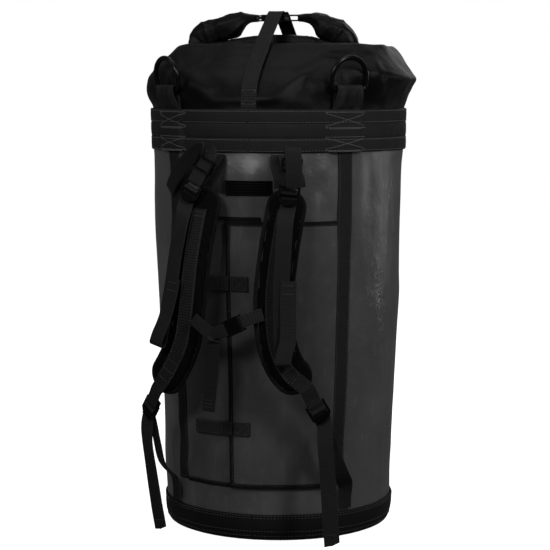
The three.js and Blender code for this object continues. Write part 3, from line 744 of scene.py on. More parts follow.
def makeHem():
    b, t, off, c = hem["bottom"], hem["top"], hem["off"], hem["corner"]
    corner = []
    for i in range(7):
        turn = math.radians(15 * i)
        corner.append((plainRadius(0) + off - c + c * math.sin(turn), b + c - c * math.cos(turn)))
    upper = [(plainRadius(z) + off, z) for z in (10, 16, 22, 28, 34, 38, 40.6, 41.6, 43.5, 44.6)]
    lip = [(plainRadius(t) + off - 0.8, t), (plainRadius(t) + 0.3, t - 0.2), (plainRadius(20) + 0.4, 20),
           (186.6, 4)]
    foot = [(176, b)]
    bm = spun(foot + corner + upper + lip, 256)
    for vert in bm.verts:
        if vert.co.z > 6 and vert.co.xy.length > plainRadius(vert.co.z) + 1.5:
            phi = angleOf(vert.co)
            vert.co += outward(phi) * hemWave(phi, vert.co.z)
    wrapUV(bm)
    finished("baseHem", bm, "bag", "hemCloth", ["base_hem"])
    bm = bmesh.new()
    for z in hem["rows"]:
        angles = [i * 1.5 for i in range(241)]
        points = [atRadius(phi, plainRadius(z) + off + hemWave(phi, z), z) for phi in angles]
        stitches(bm, points, [outward(phi) for phi in angles], 3.2, 2.4, 0.38)
    finished("hemStitches", bm, "bag", "darkThread")


makeBand()
makeBandStitches()
makeHem()
print("band and hem made")

# collar
collar = {
    # height at the front and the sides, half width right and left, depth, how square the outline is
    "levels": [
        (692, 692, 211.5, 211.5, 211.5, 2.0), (701, 701, 212, 211.5, 211, 2.0),
        (718, 716, 216, 215, 208, 2.1),
        (737, 734, 224, 217.5, 199, 2.3), (757, 748, 231, 214, 180, 2.6), (771, 760, 223, 204, 157, 3.0),
        (786, 776, 210, 189, 134, 3.5), (798, 790, 199, 173, 115, 4.0), (805, 802, 189, 161, 103, 4.4),
        (805.5, 802, 183, 155, 96, 4.2), (800, 795, 168, 147, 68, 3.4), (789, 785, 154, 138, 38, 2.6),
        (782, 779, 143, 131, 15, 2.4), (784, 780, 136, 128, 8, 2.4), (799, 790, 126, 120, 6.5, 2.4),
    ],
    "columns": 288, "rows": 72, "thick": 1.6,
}
# folds on the front panel: x and height at both ends, width, depth out
frontFolds = [
    (112, 784, 30, 712, 10, 5.0), (104, 764, 52, 722, 15, -6.0), (-122, 766, -60, 714, 16, 5.5),
    (-60, 714, 56, 716, 11, 4.5), (-40, 744, 40, 750, 26, -4.5), (106, 788, 172, 782, 6, -11.0),
    (104, 775, 160, 768, 9, 5.0), (84, 742, 92, 724, 14, -7.0), (182, 796, 194, 716, 9, 5.0),
    (-172, 772, -160, 714, 11, -6.0), (-142, 782, -120, 716, 10, 4.5), (-70, 792, -20, 770, 10, 1.5),
    (150, 760, 166, 712, 14, -6.0), (-198, 760, -196, 716, 12, 3.0),
]
rearFolds = [
    (-120, 784, -60, 726, 14, 3.2), (-30, 770, 40, 716, 16, -3.4), (90, 784, 150, 716, 14, 3.4),
    (-170, 770, -130, 712, 12, -3.2), (30, 788, 90, 760, 10, -2.6), (60, 730, 120, 742, 16, 2.6),
]


def alongLevels(share):
    levels = collar["levels"]
    where = share * (len(levels) - 1)
    i = min(int(where), len(levels) - 2)
    k = where - i
    rows = [levels[min(max(j, 0), len(levels) - 1)] for j in (i - 1, i, i + 1, i + 2)]
    made = []
    for a, b, c, d in zip(*rows):
        made.append(0.5 * (2 * b + (c - a) * k + (2 * a - 5 * b + 4 * c - d) * k * k
                           + (3 * b - a - 3 * c + d) * k ** 3))
    return made


def collarPoint(phi, share):
    front, sides, right, left, depth, square = alongLevels(share)
    sine, cosine = math.sin(math.radians(phi)), math.cos(math.radians(phi))
    power = 2 / square
    u = math.copysign(abs(sine) ** power, sine)
    w = math.copysign(abs(cosine) ** power, cosine)
    half = right if sine > 0 else left
    x, y = half * u, -depth * w
    z = sides + (front - sides) * (1 - smoothStep(0.8, 1.0, abs(u)))
    p = Vector((x, y, z))
    out = Vector((x / half, y / max(depth, 30), 0.35 * smoothStep(700, 800, z))).normalized()
    fade = smoothStep(699, 716, z) * (1 - 0.6 * smoothStep(0.72, 0.86, share))
    calm = 1 - 0.55 * smoothStep(110, 60, abs(x)) * (y < 0)
    push = softNoise(x / 58, y / 58, z / 42, 21) * 3.6 + softNoise(x / 22, y / 22, z / 26, 22) * 1.3 * calm
    push += softNoise(x / 9, y / 9, z / 14, 24) * 0.35 * calm
    if share < 0.68:
        for x0, z0, x1, z1, width, depthOut in (frontFolds if y < 0 else rearFolds):
            gap, k = nearLine(x, z, (x0, z0, x1, z1))
            if gap < width * 2.4:
                amount = math.exp(-(gap / width) ** 2) * math.sin(math.pi * (0.12 + 0.76 * k))
                push += depthOut * amount * smoothStep(0, 60, abs(y))
    return p + out * push * fade


def makeCollar():
    def place(u, v):
        return collarPoint(u * 360, v)

    def uv(u, v):
        return (u - 0.5) * 1.3, v * 0.32

    bm = sheet(collar["columns"], collar["rows"], place, uv, wrapped=True)
    finished("collar", bm, "bag", "collarCloth", ["collar"], thick=collar["thick"], offset=-1,
             turn=True)


makeCollar()
print("collar made")

# rolled mouth
roll = {
    "line": [(-36, 850), (-52, 850), (-82, 846), (-110, 838), (-130, 829), (-139.5, 817), (-137, 806),
             (-125, 800.5), (-96, 801), (-50, 808), (0, 811), (50, 808), (82, 802), (104, 801), (115, 806),
             (118, 816), (108, 829), (88, 840), (66, 849.5), (50, 850), (36, 850)],
    "halfWidth": 21.5, "halfHeight": 11.5, "around": 44,
}
# hard creases across the roll: share of its length, strength, and how far the crease leans round it
rollCreases = [(0.06, 3.0, 0.8), (0.13, -2.6, -0.6), (0.19, 3.4, 0.5), (0.245, -3.0, 0.9), (0.30, 2.6, -0.7),
               (0.37, -1.6, 0.5), (0.46, 1.6, -0.4), (0.56, -1.8, 0.6), (0.64, 2.0, -0.5), (0.70, -3.2, 0.8),
               (0.755, 3.8, -0.6), (0.80, -3.4, 0.7), (0.86, 3.2, 0.4), (0.92, -2.4, -0.8)]


def makeRoll():
    route = Route([(x, 0, z) for x, z in roll["line"]], lambda p, s: Vector((0, 1, 0)), 2.2)

    def section(i, turn):
        share = route.lengths[i] / route.total
        angle = turn * math.tau
        c, s = math.cos(angle), math.sin(angle)
        end = min(share, 1 - share) * route.total
        pinch = smoothStep(-6, 46, end)
        w = roll["halfWidth"] * mixed(0.62, 1.0, pinch)
        h = roll["halfHeight"] * mixed(0.5, 1.0, pinch)
        bend = smoothStep(0.16, 0.22, share) * smoothStep(0.36, 0.28, share)
        bend += smoothStep(0.66, 0.72, share) * smoothStep(0.88, 0.80, share)
        w *= 1 + 0.10 * bend
        upper = smoothStep(0.03, 0.09, share) * smoothStep(0.28, 0.2, share)
        upper += smoothStep(0.72, 0.8, share) * smoothStep(0.97, 0.91, share)
        h *= 1 + 0.80 * upper
        sink = Vector((0, 0, -9.5)) * upper
        power = 2 / 2.7
        across = w * math.copysign(abs(c) ** power, c)
        out = h * math.copysign(abs(s) ** power, s)
        # free edges of the wound layers show as steps along the roll
        for edge, step in ((0.57, 1.7), (0.44, 1.2), (0.92, 1.4)):
            lag = (turn - edge - 0.012 * math.sin(share * 19 + edge * 30)) % 1.0
            out += math.copysign(step * math.exp(-lag * 11), s)
            across += math.copysign(step * 0.8 * math.exp(-lag * 11), c)
        fold = 0.0
        for at, amount, lean in rollCreases:
            gap = (share - at) * route.total - lean * across * 0.6
            fold += amount * math.exp(-abs(gap) / 4.2)
        fold += softNoise(share * 22, c * 1.3, s * 1.3, 31) * 2.6
        fold += softNoise(share * 60, c * 2.6, s * 2.6, 32) * 1.1
        inside = smoothStep(0.5, -0.5, s) if 0.32 < share < 0.66 else 0
        fold *= (1 - 0.7 * inside) * smoothStep(0, 20, end)
        shift = Vector((0, c, 0)) * fold * 0.7 + route.face[i] * math.copysign(abs(s) ** 0.7, s) * fold
        return route.line[i] + route.across[i] * across + route.face[i] * out + shift + sink

    bm = tube(route.line, section, roll["around"])
    finished("rollClosure", bm, "bag", "collarCloth", ["roll_closure", "mouth_stiffener"],
             turn=True)


makeRoll()
print("roll made")


# frames of the hardware, as the model has them
def frameAt(origin, along, outwards):
    y = Vector(along).normalized()
    z = Vector(outwards)
    z = (z - y * z.dot(y)).normalized()
    basis = Matrix((y.cross(z), y, z)).transposed().to_4x4()
    basis.translation = Vector(origin)
    return basis


def axis(basis, column):
    return basis.to_3x3().col[column].copy()


def arc(cx, cy, radius, start, end, count):
    turns = [math.radians(mixed(start, end, i / count)) for i in range(count + 1)]
    return [(cx + radius * math.cos(t), cy + radius * math.sin(t)) for t in turns]


def steady(vector):
    fixed = Vector(vector)
    return lambda p, share: fixed.copy()


def aroundBag(amount=0.7):
    return lambda p, share: acrossAt(angleOf(p) * amount)


def turning(first, last, start, end):
    # from one direction or function to another between two shares of the length
    def side(p, share):
        a = first(p, share) if callable(first) else Vector(first)
        return a.lerp(Vector(last), smoothStep(start, end, share))
    return side


def loopPoints(basis, radius, first, second):
    flat = [(first, radius), *arc(0, 0, radius, 90, 270, 10), (second, -radius)]
    return [basis @ Vector((0, y, z)) for y, z in flat]


def boxStitches(bm, corners, outs, crossed=True, **style):
    # a sewn box from four corners in order, with a cross inside
    rows = [(0, 1), (1, 2), (2, 3), (3, 0)] + ([(0, 2), (1, 3)] if crossed else [])
    for a, b in rows:
        points = [corners[a].lerp(corners[b], i / 8) for i in range(9)]
        stitches(bm, points, [outs] * 9, **style)


def edgeRows(bm, route, width, inset=2.2, start=0.0, end=1.0, out=0.95, **style):
    # a row of stitches along each edge of a strap
    count = max(8, int(route.total * (end - start) / 5))
    for sign in (-1, 1):
        shares = [mixed(start, end, i / count) for i in range(count + 1)]
        points = [route.at(s, sign * (width / 2 - inset), out) for s in shares]
        last = len(route.line) - 1
        outs = [route.face[min(round(s * last), last)] * math.copysign(1, out) for s in shares]
        stitches(bm, points, outs, **style)


def endRows(bm, route, width, places, out=0.95, **style):
    # rows of stitches across a strap
    last = len(route.line) - 1
    for share in places:
        face = route.face[min(round(share * last), last)] * math.copysign(1, out)
        points = [route.at(share, mixed(-0.42, 0.42, i / 8) * width, out) for i in range(9)]
        stitches(bm, points, [face] * 9, **style)


# lifting rings and their tabs
rings = {
    "angles": {"front_right": 43, "front_left": -41, "rear_right": 135, "rear_left": -135},
    "height": 732, "off": 9, "lean": 8, "wire": 4, "halfWidth": 31.5, "leg": 18.5, "corner": 6,
    "tabBar": 46, "tabBand": 52, "tabLoop": 5.9,
}


def ringFrame(phi):
    tilt = math.radians(rings["lean"])
    up = outward(phi) * math.sin(tilt)
    up.z = math.cos(tilt)
    origin = atRadius(phi, plainRadius(700) + rings["off"], rings["height"])
    return frameAt(origin, up, outward(phi))


def makeRing(name, phi):
    basis = ringFrame(phi)
    c, w, leg = rings["corner"], rings["halfWidth"], rings["leg"]
    flat = [(w - c, 0), *arc(w - c, c, c, -90, 0, 8)[1:], *arc(0, leg, w, 0, 180, 40),
            *arc(-w + c, c, c, 180, 270, 8), (0, 0), (w - c, 0)]
    line = [basis @ Vector((x, y, 0)) for x, y in flat]
    normal = axis(basis, 2)
    last = len(line) - 1

    def section(i, turn):
        ahead = line[1] if i == last else line[i + 1]
        behind = line[last - 1] if i == 0 else line[i - 1]
        side = (ahead - behind).normalized().cross(normal).normalized()
        angle = turn * math.tau
        return line[i] + (side * math.cos(angle) + normal * math.sin(angle)) * rings["wire"]

    bm = tube(line, section, 20, closed=True)
    finished(f"dRing_{name}", bm, f"ring_{name}", "ringMetal", [f"d_ring_{name}"], turn=True)


def makeRingTab(name, phi):
    middle = plainRadius(700) + rings["off"]
    loop, top = rings["tabLoop"], rings["height"]
    flat = [(plainRadius(690) + 1.3, 690), (plainRadius(700) + 1.8, 701), (middle - loop, top - 8)]
    flat += [(middle + x, top + y) for x, y in arc(0, 0, loop, 180, 0, 10)]
    flat += [(middle + loop - 1.5, top - 9), (plainRadius(700) + 6.5, 706), (plainRadius(700) + 4.0, 699.5),
             (plainRadius(690) + 3.6, 690)]
    side = acrossAt(phi)
    route = Route([outward(phi) * r + Vector((0, 0, z)) for r, z in flat], steady(side), 1.6)
    rows = len(route.line) - 1

    def place(u, v):
        z = route.at(v).z
        share = smoothStep(rings["height"] - 2, 700, z)
        half = mixed(rings["tabBar"], rings["tabBand"], share) / 2
        # gathered on the bar: soft pleats that fan out towards the band
        front = smoothStep(0.5, 0.62, v)
        pleat = math.cos(u * math.tau * 2.6 + phi) * 1.6 + softNoise(u * 6, v * 4, phi, 41) * 1.4 - 1.2
        pleat *= smoothStep(699, 708, z) * smoothStep(rings["height"] + 3, rings["height"] - 10, z) * front
        edge = 1 + 0.06 * softNoise(v * 9, u * 2, phi, 42)
        return route.at(v, (u - 0.5) * 2 * half * edge, pleat)

    def uv(u, v):
        return v * route.total / 1000, (u - 0.5) * rings["tabBar"] / 1000

    bm = sheet(28, rows, place, uv)
    finished(f"ringTab_{name}", bm, "bag", "webbing", [f"d_ring_tab_{name}"], thick=1.5, bevel=0.3)


for ringName, ringAngle in rings["angles"].items():
    makeRing(ringName, ringAngle)
    makeRingTab(ringName, ringAngle)
print("rings made")

# side strips
strips = {"halfAngle": 3.5, "bottom": 90, "top": 634, "off": 1.2}


def makeStrip(name, phi):
    half, low, high = strips["halfAngle"], strips["bottom"], strips["top"]

    def place(u, v):
        return onBag(phi + (u - 0.5) * 2 * half, mixed(low, high, v), strips["off"])

    def uv(u, v):
        return v * (high - low) / 1000, (u - 0.5) * 0.025

    bm = sheet(4, 120, place, uv)
    finished(f"sideStrip_{name}", bm, "bag", "webbing", [f"side_web_{name}"], thick=1.6, bevel=0.3)
    bm = bmesh.new()
    for aside in (-half + 0.65, half - 0.65):
        heights = [mixed(low + 2, high - 3, i / 110) for i in range(111)]
        points = [onBag(phi + aside, z, strips["off"] + 0.85) for z in heights]
        stitches(bm, points, [outward(phi)] * 111, 3.0, 2.0, 0.34)
    points = [onBag(phi + mixed(-half, half, i / 6) * 0.8, low + 3, strips["off"] + 0.85) for i in range(7)]
    stitches(bm, points, [outward(phi)] * 7, 3.0, 1.4, 0.34)
    finished(f"stripStitches_{name}", bm, "bag", "darkThread")


for ringName, ringAngle in rings["angles"].items():
    makeStrip(ringName, ringAngle)
print("side strips made")

# pocket
pocket = {
    "leftSide": -37.2, "rightSide": 39.2, "bottom": 88, "leftTop": 530, "rightTop": 523, "leftEdge": 3,
    "rightEdge": -8.3, "leftOff": 1.1, "rightOff": 3.9, "puff": 1.6, "bindingWide": 7.6,
}


def puffAt(phi, z):
    # the flaps stand a little loose between their sewn edges
    side = smoothStep(38, 28, abs(phi))
    rise = smoothStep(96, 150, z) * smoothStep(520, 470, z)
    loose = 0.55 + 0.45 * softNoise(phi / 14, z / 90, 0, 51)
    return pocket["puff"] * side * rise * loose


def flapPoint(phi, z, off):
    return onBag(phi, z, off + puffAt(phi, z))


def bent(name, start, end, bottom, top, off, body, finish, replaces=(), thick=1.3, bevel=0.3,
         step=(1.2, 7)):
    columns = max(2, round((end - start) / step[0]))
    rows = max(2, round((top - bottom) / step[1]))

    def place(u, v):
        return flapPoint(mixed(start, end, u), mixed(bottom, top, v), off)

    def uv(u, v):
        return mixed(start, end, u) * 0.0036, mixed(bottom, top, v) / 1000

    bm = sheet(columns, rows, place, uv)
    return finished(name, bm, body, finish, replaces, thick=thick, bevel=bevel)


def makePocket():
    p = pocket
    bent("pocketFlapLeft", p["leftSide"], p["leftEdge"] + 0.3, p["bottom"] + 2, p["leftTop"] - 2,
         p["leftOff"], "bag", "flapCloth", ["pocket_flap_left"], 1.1)
    bent("pocketFlapRight", p["rightEdge"] - 0.3, p["rightSide"], p["bottom"] + 2, p["rightTop"] - 2,
         p["rightOff"], "bag", "flapCloth", ["pocket_flap_right"], 1.1)
    # bindings: tape folded over the edges
    edges = {
        "Left": (p["leftSide"], 5.15, p["leftTop"], (3.15, 5.15)),
        "Right": (-10.45, p["rightSide"], p["rightTop"], (-10.45, -8.45)),
    }
    for side, (first, last, top, upright) in edges.items():
        bottom, wide = p["bottom"], p["bindingWide"]
        spans = [(first, last, top - wide, top), (first, last, bottom, bottom + wide),
                 (*upright, bottom + 1, top - 1)]
        off = 1.4 if side == "Left" else 4.2
        for i, (start, end, low, high) in enumerate(spans):
            replaced = [f"pocket_binding_{side.lower()}"] if i == 0 else []
            lift = 0.12 if i == 2 else 0
            bent(f"pocketBinding{side}{i}", start, end, low, high, off + lift, "bag", "binding",
                 replaced, 2.0, 0.6, (1.5, 1.9 if i < 2 else 7))
    bm = bmesh.new()

    def seamUp(phi, low, high, off):
        heights = [mixed(low, high, i / 90) for i in range(91)]
        stitches(bm, [flapPoint(phi, z, off) for z in heights], [outward(phi)] * 91, 3.0, 2.0, 0.3)

    def seamAcross(z, start, end, off):
        angles = [mixed(start, end, i / 40) for i in range(41)]
        stitches(bm, [flapPoint(a, z, off) for a in angles], [outward(a) for a in angles], 3.0, 2.0, 0.3)

    for phi in (-9.0, -5.0, 1.0):
        seamUp(phi, 100, 518 if phi < -8 else 512, 5.3 if phi < -8 else 4.5)
    for z, start, end, off in ((524, -37, -11, 2.5), (517, -10, 39, 5.3), (94, -37, -11, 2.5),
                               (94, -10, 39, 5.3)):
        seamAcross(z, start, end, off)
    finished("pocketStitches", bm, "bag", "darkThread")


def makePocketTabs():
    for name, height, half in (("upper", 423, 12), ("lower", 186, 11)):
        low, high = height - half, height + half
        title = name.capitalize()
        bent(f"tabBase{title}", -7.9, -0.2, low, high, 6.6, "bag", "webbing", [f"tab_base_{name}"],
             1.5, 0.3, (1.0, 3))
        bent(f"hookTab{title}", -28.8, -8.9, low, high, 6.6, f"{name}_hook_tab", "webbing",
             [f"hook_tab_{name}"], 1.5, 0.3, (1.0, 3))
        bm = bmesh.new()
        spots = ((-7.0, low + 2), (-1.0, low + 2), (-1.0, high - 2), (-7.0, high - 2))
        boxStitches(bm, [flapPoint(a, z, 7.5) for a, z in spots], outward(-4), length=2.4, gap=1.5,
                    radius=0.3)
        finished(f"tabBaseStitches{title}", bm, "bag", "darkThread")
        bm = bmesh.new()
        spots = ((-28.0, low + 2), (-14, low + 2), (-14, high - 2), (-28.0, high - 2))
        for a, b in ((0, 1), (1, 2), (2, 3), (3, 0)):
            (phi0, z0), (phi1, z1) = spots[a], spots[b]
            points = [flapPoint(mixed(phi0, phi1, i / 8), mixed(z0, z1, i / 8), 7.5) for i in range(9)]
            stitches(bm, points, [outward(-20)] * 9, 2.4, 1.5, 0.3)
        finished(f"hookTabStitches{title}", bm, f"{name}_hook_tab", "darkThread")


makePocket()
makePocketTabs()
print("pocket made")

# badge: a plain rubber plate with a raised rim and ribs
badge = {"height": 576, "tall": 24, "halfAngle": 10.3, "off": 0.4, "thick": 2.4, "rim": 1.6}


def makeBadge():
    low, high = badge["height"] - badge["tall"] / 2, badge["height"] + badge["tall"] / 2
    half = badge["halfAngle"]

    def place(u, v):
        phi, z = mixed(-half, half, u), mixed(low, high, v)
        edge = min((half - abs(phi)) * 3.67, z - low, high - z)
        rise = badge["off"] + badge["thick"] * smoothStep(-0.3, 0.9, edge)
        rise -= 0.9 * smoothStep(badge["rim"], badge["rim"] + 0.6, edge)
        if edge > 4 and abs(phi) < half - 2.2:
            rise += 0.6 * smoothStep(0.25, 0.6, abs(math.sin(math.pi * (z - low - 4) / 4.2)))
        return onBag(phi, z, rise)

    def uv(u, v):
        return u * 0.075, v * 0.024

    bm = sheet(150, 60, place, uv)
    rim = [e for e in bm.edges if e.is_boundary]
    made = bmesh.ops.extrude_edge_only(bm, edges=rim)["geom"]
    for vert in made:
        if isinstance(vert, bmesh.types.BMVert):
            phi = angleOf(vert.co)
            vert.co = onBag(phi, vert.co.z, 0.1)
    finished("badge", bm, "bag", "badgeRubber", ["badge"])


makeBadge()
print("badge made")

# hardware cut in the model: copied, cleaned and given rounded edges
hardware = {
    "bevel": 0.55, "segments": 2, "sharp": 28,
    "plastic": ["roll_buckle_female", "roll_buckle_male", "ladder_lock_upper_left", "ladder_lock_upper_right",
                "ladder_lock_lower_left", "ladder_lock_lower_right", "tri_glide_left", "tri_glide_right",
                "sternum_buckle_female", "sternum_buckle_male"],
}
bodyOf = {node: body for body, nodes in frame["record"]["behaviour"]["bodies"].items() for node in nodes}


def refineNode(node, finish, bevel):
    bm = bmesh.new()
    bm.from_mesh(frame["nodes"][node].data)
    bmesh.ops.scale(bm, vec=(1000, 1000, 1000), verts=bm.verts[:])
    bmesh.ops.remove_doubles(bm, verts=bm.verts[:], dist=0.01)
    bmesh.ops.dissolve_limit(bm, angle_limit=math.radians(2), verts=bm.verts[:], edges=bm.edges[:])
    limit = math.radians(hardware["sharp"])
    sharp = [e for e in bm.edges if len(e.link_faces) == 2 and e.calc_face_angle(0) > limit]
    bmesh.ops.bevel(bm, geom=sharp, offset=bevel, offset_type="OFFSET", affect="EDGES",
                    segments=hardware["segments"], profile=0.5, material=-1, clamp_overlap=True)
    bmesh.ops.triangulate(bm, faces=[f for f in bm.faces if len(f.verts) > 4])
    title = titled(node)
    made = finished(title[0].lower() + title[1:], bm, bodyOf[node], finish, [node])
    normals = made.modifiers.new("shading", "WEIGHTED_NORMAL")
    normals.keep_sharp = True


for hardwareNode in hardware["plastic"]:
    small = 0.4 if "sternum" in hardwareNode else hardware["bevel"]
    refineNode(hardwareNode, "plastic", small)
refineNode("base_floor", "hemCloth", 0.8)
print("hardware made")

# top strap and roll tabs
topStrap = {
    "half": [(-212.6, 694), (-213.2, 702), (-211.5, 718), (-205, 737), (-190, 753), (-171, 768),
             (-120, 800.5), (-107, 811), (-60, 838), (-18, 860)],
    "width": 25,
}


def makeTopStrap():
    half = topStrap["half"]
    points = [(0, y, z) for y, z in half] + [(0, 0, 859)] + [(0, -y, z) for y, z in reversed(half)]
    route = Route(points, steady((1, 0, 0)), 2.5)
    ribbon("topStrap", route, topStrap["width"], "bag", "ribbedWebbing", replaces=["top_strap"], ripple=0.5)
    bm = bmesh.new()
    for sign in (1, -1):
        out = Vector((0, -sign, 0.1)).normalized()
        corners = []
        for x, k in ((-10.5, 0.022), (10.5, 0.022), (10.5, 0.062), (-10.5, 0.062)):
            share = k if sign > 0 else 1 - k
            corners.append(route.at(share, x, 0))
            corners[-1] += out * 1.0
        boxStitches(bm, corners, out, length=2.6, gap=1.4, radius=0.4)
    finished("topStrapStitches", bm, "bag", "darkThread")


def makeRollTabs():
    for name, x, along, legs, body in (("left", -28, -1, 30, "bag"), ("right", 12.5, 1, 42, "roll_clip")):
        basis = frameAt((x, 0, 850), (along, 0, 0), (0, 0, 1))
        route = Route(loopPoints(basis, 4.1, legs, legs), steady((0, 1, 0)), 1.5)
        ribbon(f"rollTab{name.capitalize()}", route, 25, body, replaces=[f"roll_tab_{name}"], thick=1.6,
               ripple=0.15)
        bm = bmesh.new()
        flat = ((-10, 10), (10, 10), (10, legs - 6), (-10, legs - 6))
        corners = [basis @ Vector((x, y, 5.1)) for x, y in flat]
        boxStitches(bm, corners, Vector((0, 0, 1)), length=2.4, gap=1.4, radius=0.35)
        finished(f"rollTabStitches{name.capitalize()}", bm, body, "darkThread")


makeTopStrap()
makeRollTabs()
print("top strap made")

# shoulder harness
locks = {
    "upper_left": {
        "frame": frameAt((-79, -243, 584), (0.476, 0.14, 0.868), (-0.31, -0.95, 0)),
        "tail": [(-95, -258, 535), (-105, -263, 480), (-114, -265, 420), (-133, -259, 332)],
        "endSide": (0.9, -0.42, 0),
        "loop": 6, "aside": 5, "back": [(0.95, 11), (0.9, 8.5),
                 (0.84, 6), (0.76, 3.4), (0.7, 2.4), (0.64, 2.2)],
    },
    "upper_right": {
        "frame": frameAt((74, -245, 581), (0.05, 0.2, 0.98), (0.2, -0.98, 0)),
        "tail": [(72, -266, 530), (70, -276, 470), (67, -276, 400), (69, -271, 308)],
        "endSide": (0.97, 0.22, 0),
        "loop": 5, "aside": 11, "back": [(0.95, 9), (0.9, 7),
                 (0.82, 4.6), (0.74, 3), (0.66, 2.3), (0.58, 2.2)],
    },
    "lower_left": {
        "frame": frameAt((-158.6, -217.4, 227.6), (0.475, -0.327, 0.817), (-0.55, -0.83, 0)),
        "tail": [(-172, -209, 170), (-165, -207, 110), (-157, -204, 50), (-152, -200, 14)],
        "endSide": (0.9, -0.42, 0),
    },
    "lower_right": {
        "frame": frameAt((112, -233, 237), (-0.455, -0.22, 0.862), (0.435, -0.9, 0)),
        "tail": [(129, -233, 175), (135, -238, 110), (139, -242, 60), (143, -245, 14)],
        "endSide": (0.95, 0.3, 0),
    },
}
# a tail's way through a lock, in the lock's own frame
inLock = [(-27, -5.7), (-12, -5.7), (-8.8, -4.7), (-7.5, -2.4), (-7.5, 1.5), (-8.3, 3.8), (-10, 4.7),
          (-12, 4.7), (-13.9, 3.8), (-14.7, 1.5), (-14.7, -1.8), (-15.8, -3.1), (-18, -3.5), (-31, -3.5)]


def foldedBack(route, lock):
    # the tail doubles back on itself and is sewn down, which leaves a pull loop at its end
    last = len(route.line) - 1
    end, along, out = route.line[-1], directionAt(route.line, last), -route.face[-1]
    radius = lock["loop"]
    points = list(route.line[::3])
    if (points[-1] - end).length > 2:
        points.append(end)
    for k in range(1, 6):
        turn = math.pi * k / 5
        points.append(end + out * radius * (1 - math.cos(turn)) + along * radius * 0.8 * math.sin(turn))
    for share, lift in lock["back"]:
        aside = lock["aside"] * smoothStep(1.0, 0.85, share)
        points.append(route.at(share, aside, -lift))

    def side(p, share):
        nearest = min(range(last + 1), key=lambda k: (route.line[k] - p).length)
        return route.across[nearest]
    return Route(points, side, 2.2)


def makeTails():
    for name, lock in locks.items():
        basis = lock["frame"]
        start = [basis @ Vector((0, y, z)) for y, z in inLock]
        share = 0.12 if name.startswith("upper") else 0.2
        side = turning(axis(basis, 0), lock["endSide"], share, 1.0)
        route = Route(start + [Vector(p) for p in lock["tail"]], side, 2.2)
        title = titled(name)
        cut = 10 if name.startswith("lower") else 0
        if name.startswith("upper"):
            route = foldedBack(route, lock)
        ribbon(f"strapTail{title}", route, 25, f"lock_{name}", replaces=[f"strap_tail_{name}"], cut=cut)
        bm = bmesh.new()
        if name.startswith("upper"):
            endRows(bm, route, 25, [0.955, 0.985], 0.95, length=2.4, gap=1.2, radius=0.36)
        else:
            endRows(bm, route, 25, [0.93], -0.95, length=2.4, gap=1.2, radius=0.3)
        finished(f"tailStitches{title}", bm, f"lock_{name}", "darkThread")


pads = {
    "lines": {
        "left": [(-66, -224, 574), (-72, -240, 530), (-81, -251, 465), (-87, -255, 400), (-97, -252, 335),
                 (-116, -244, 294), (-143, -229, 254)],
        "right": [(69, -224, 574), (64, -240, 530), (56, -253, 465), (51, -258, 400), (56, -257, 335),
                  (71, -251, 295), (99, -241, 266)],
    },
    "width": 58, "thick": 12, "start": 0.72, "voxel": 4, "pressure": 4.0, "cap": 2.2, "webOff": 7.7,
}


def padRoute(side):
    return Route(pads["lines"][side], aroundBag(), 4)


def padHalfWidth(route, share):
    fromEnd = min(share, 1 - share) * route.total / (pads["width"] / 2)
    return pads["width"] / 2 * max(math.sqrt(max(0, 1 - max(0, 1 - fromEnd) ** 2)), 0.30)


def evaluatedMesh(obj):
    graph = bpy.context.evaluated_depsgraph_get()
    return bpy.data.meshes.new_from_object(obj.evaluated_get(graph))


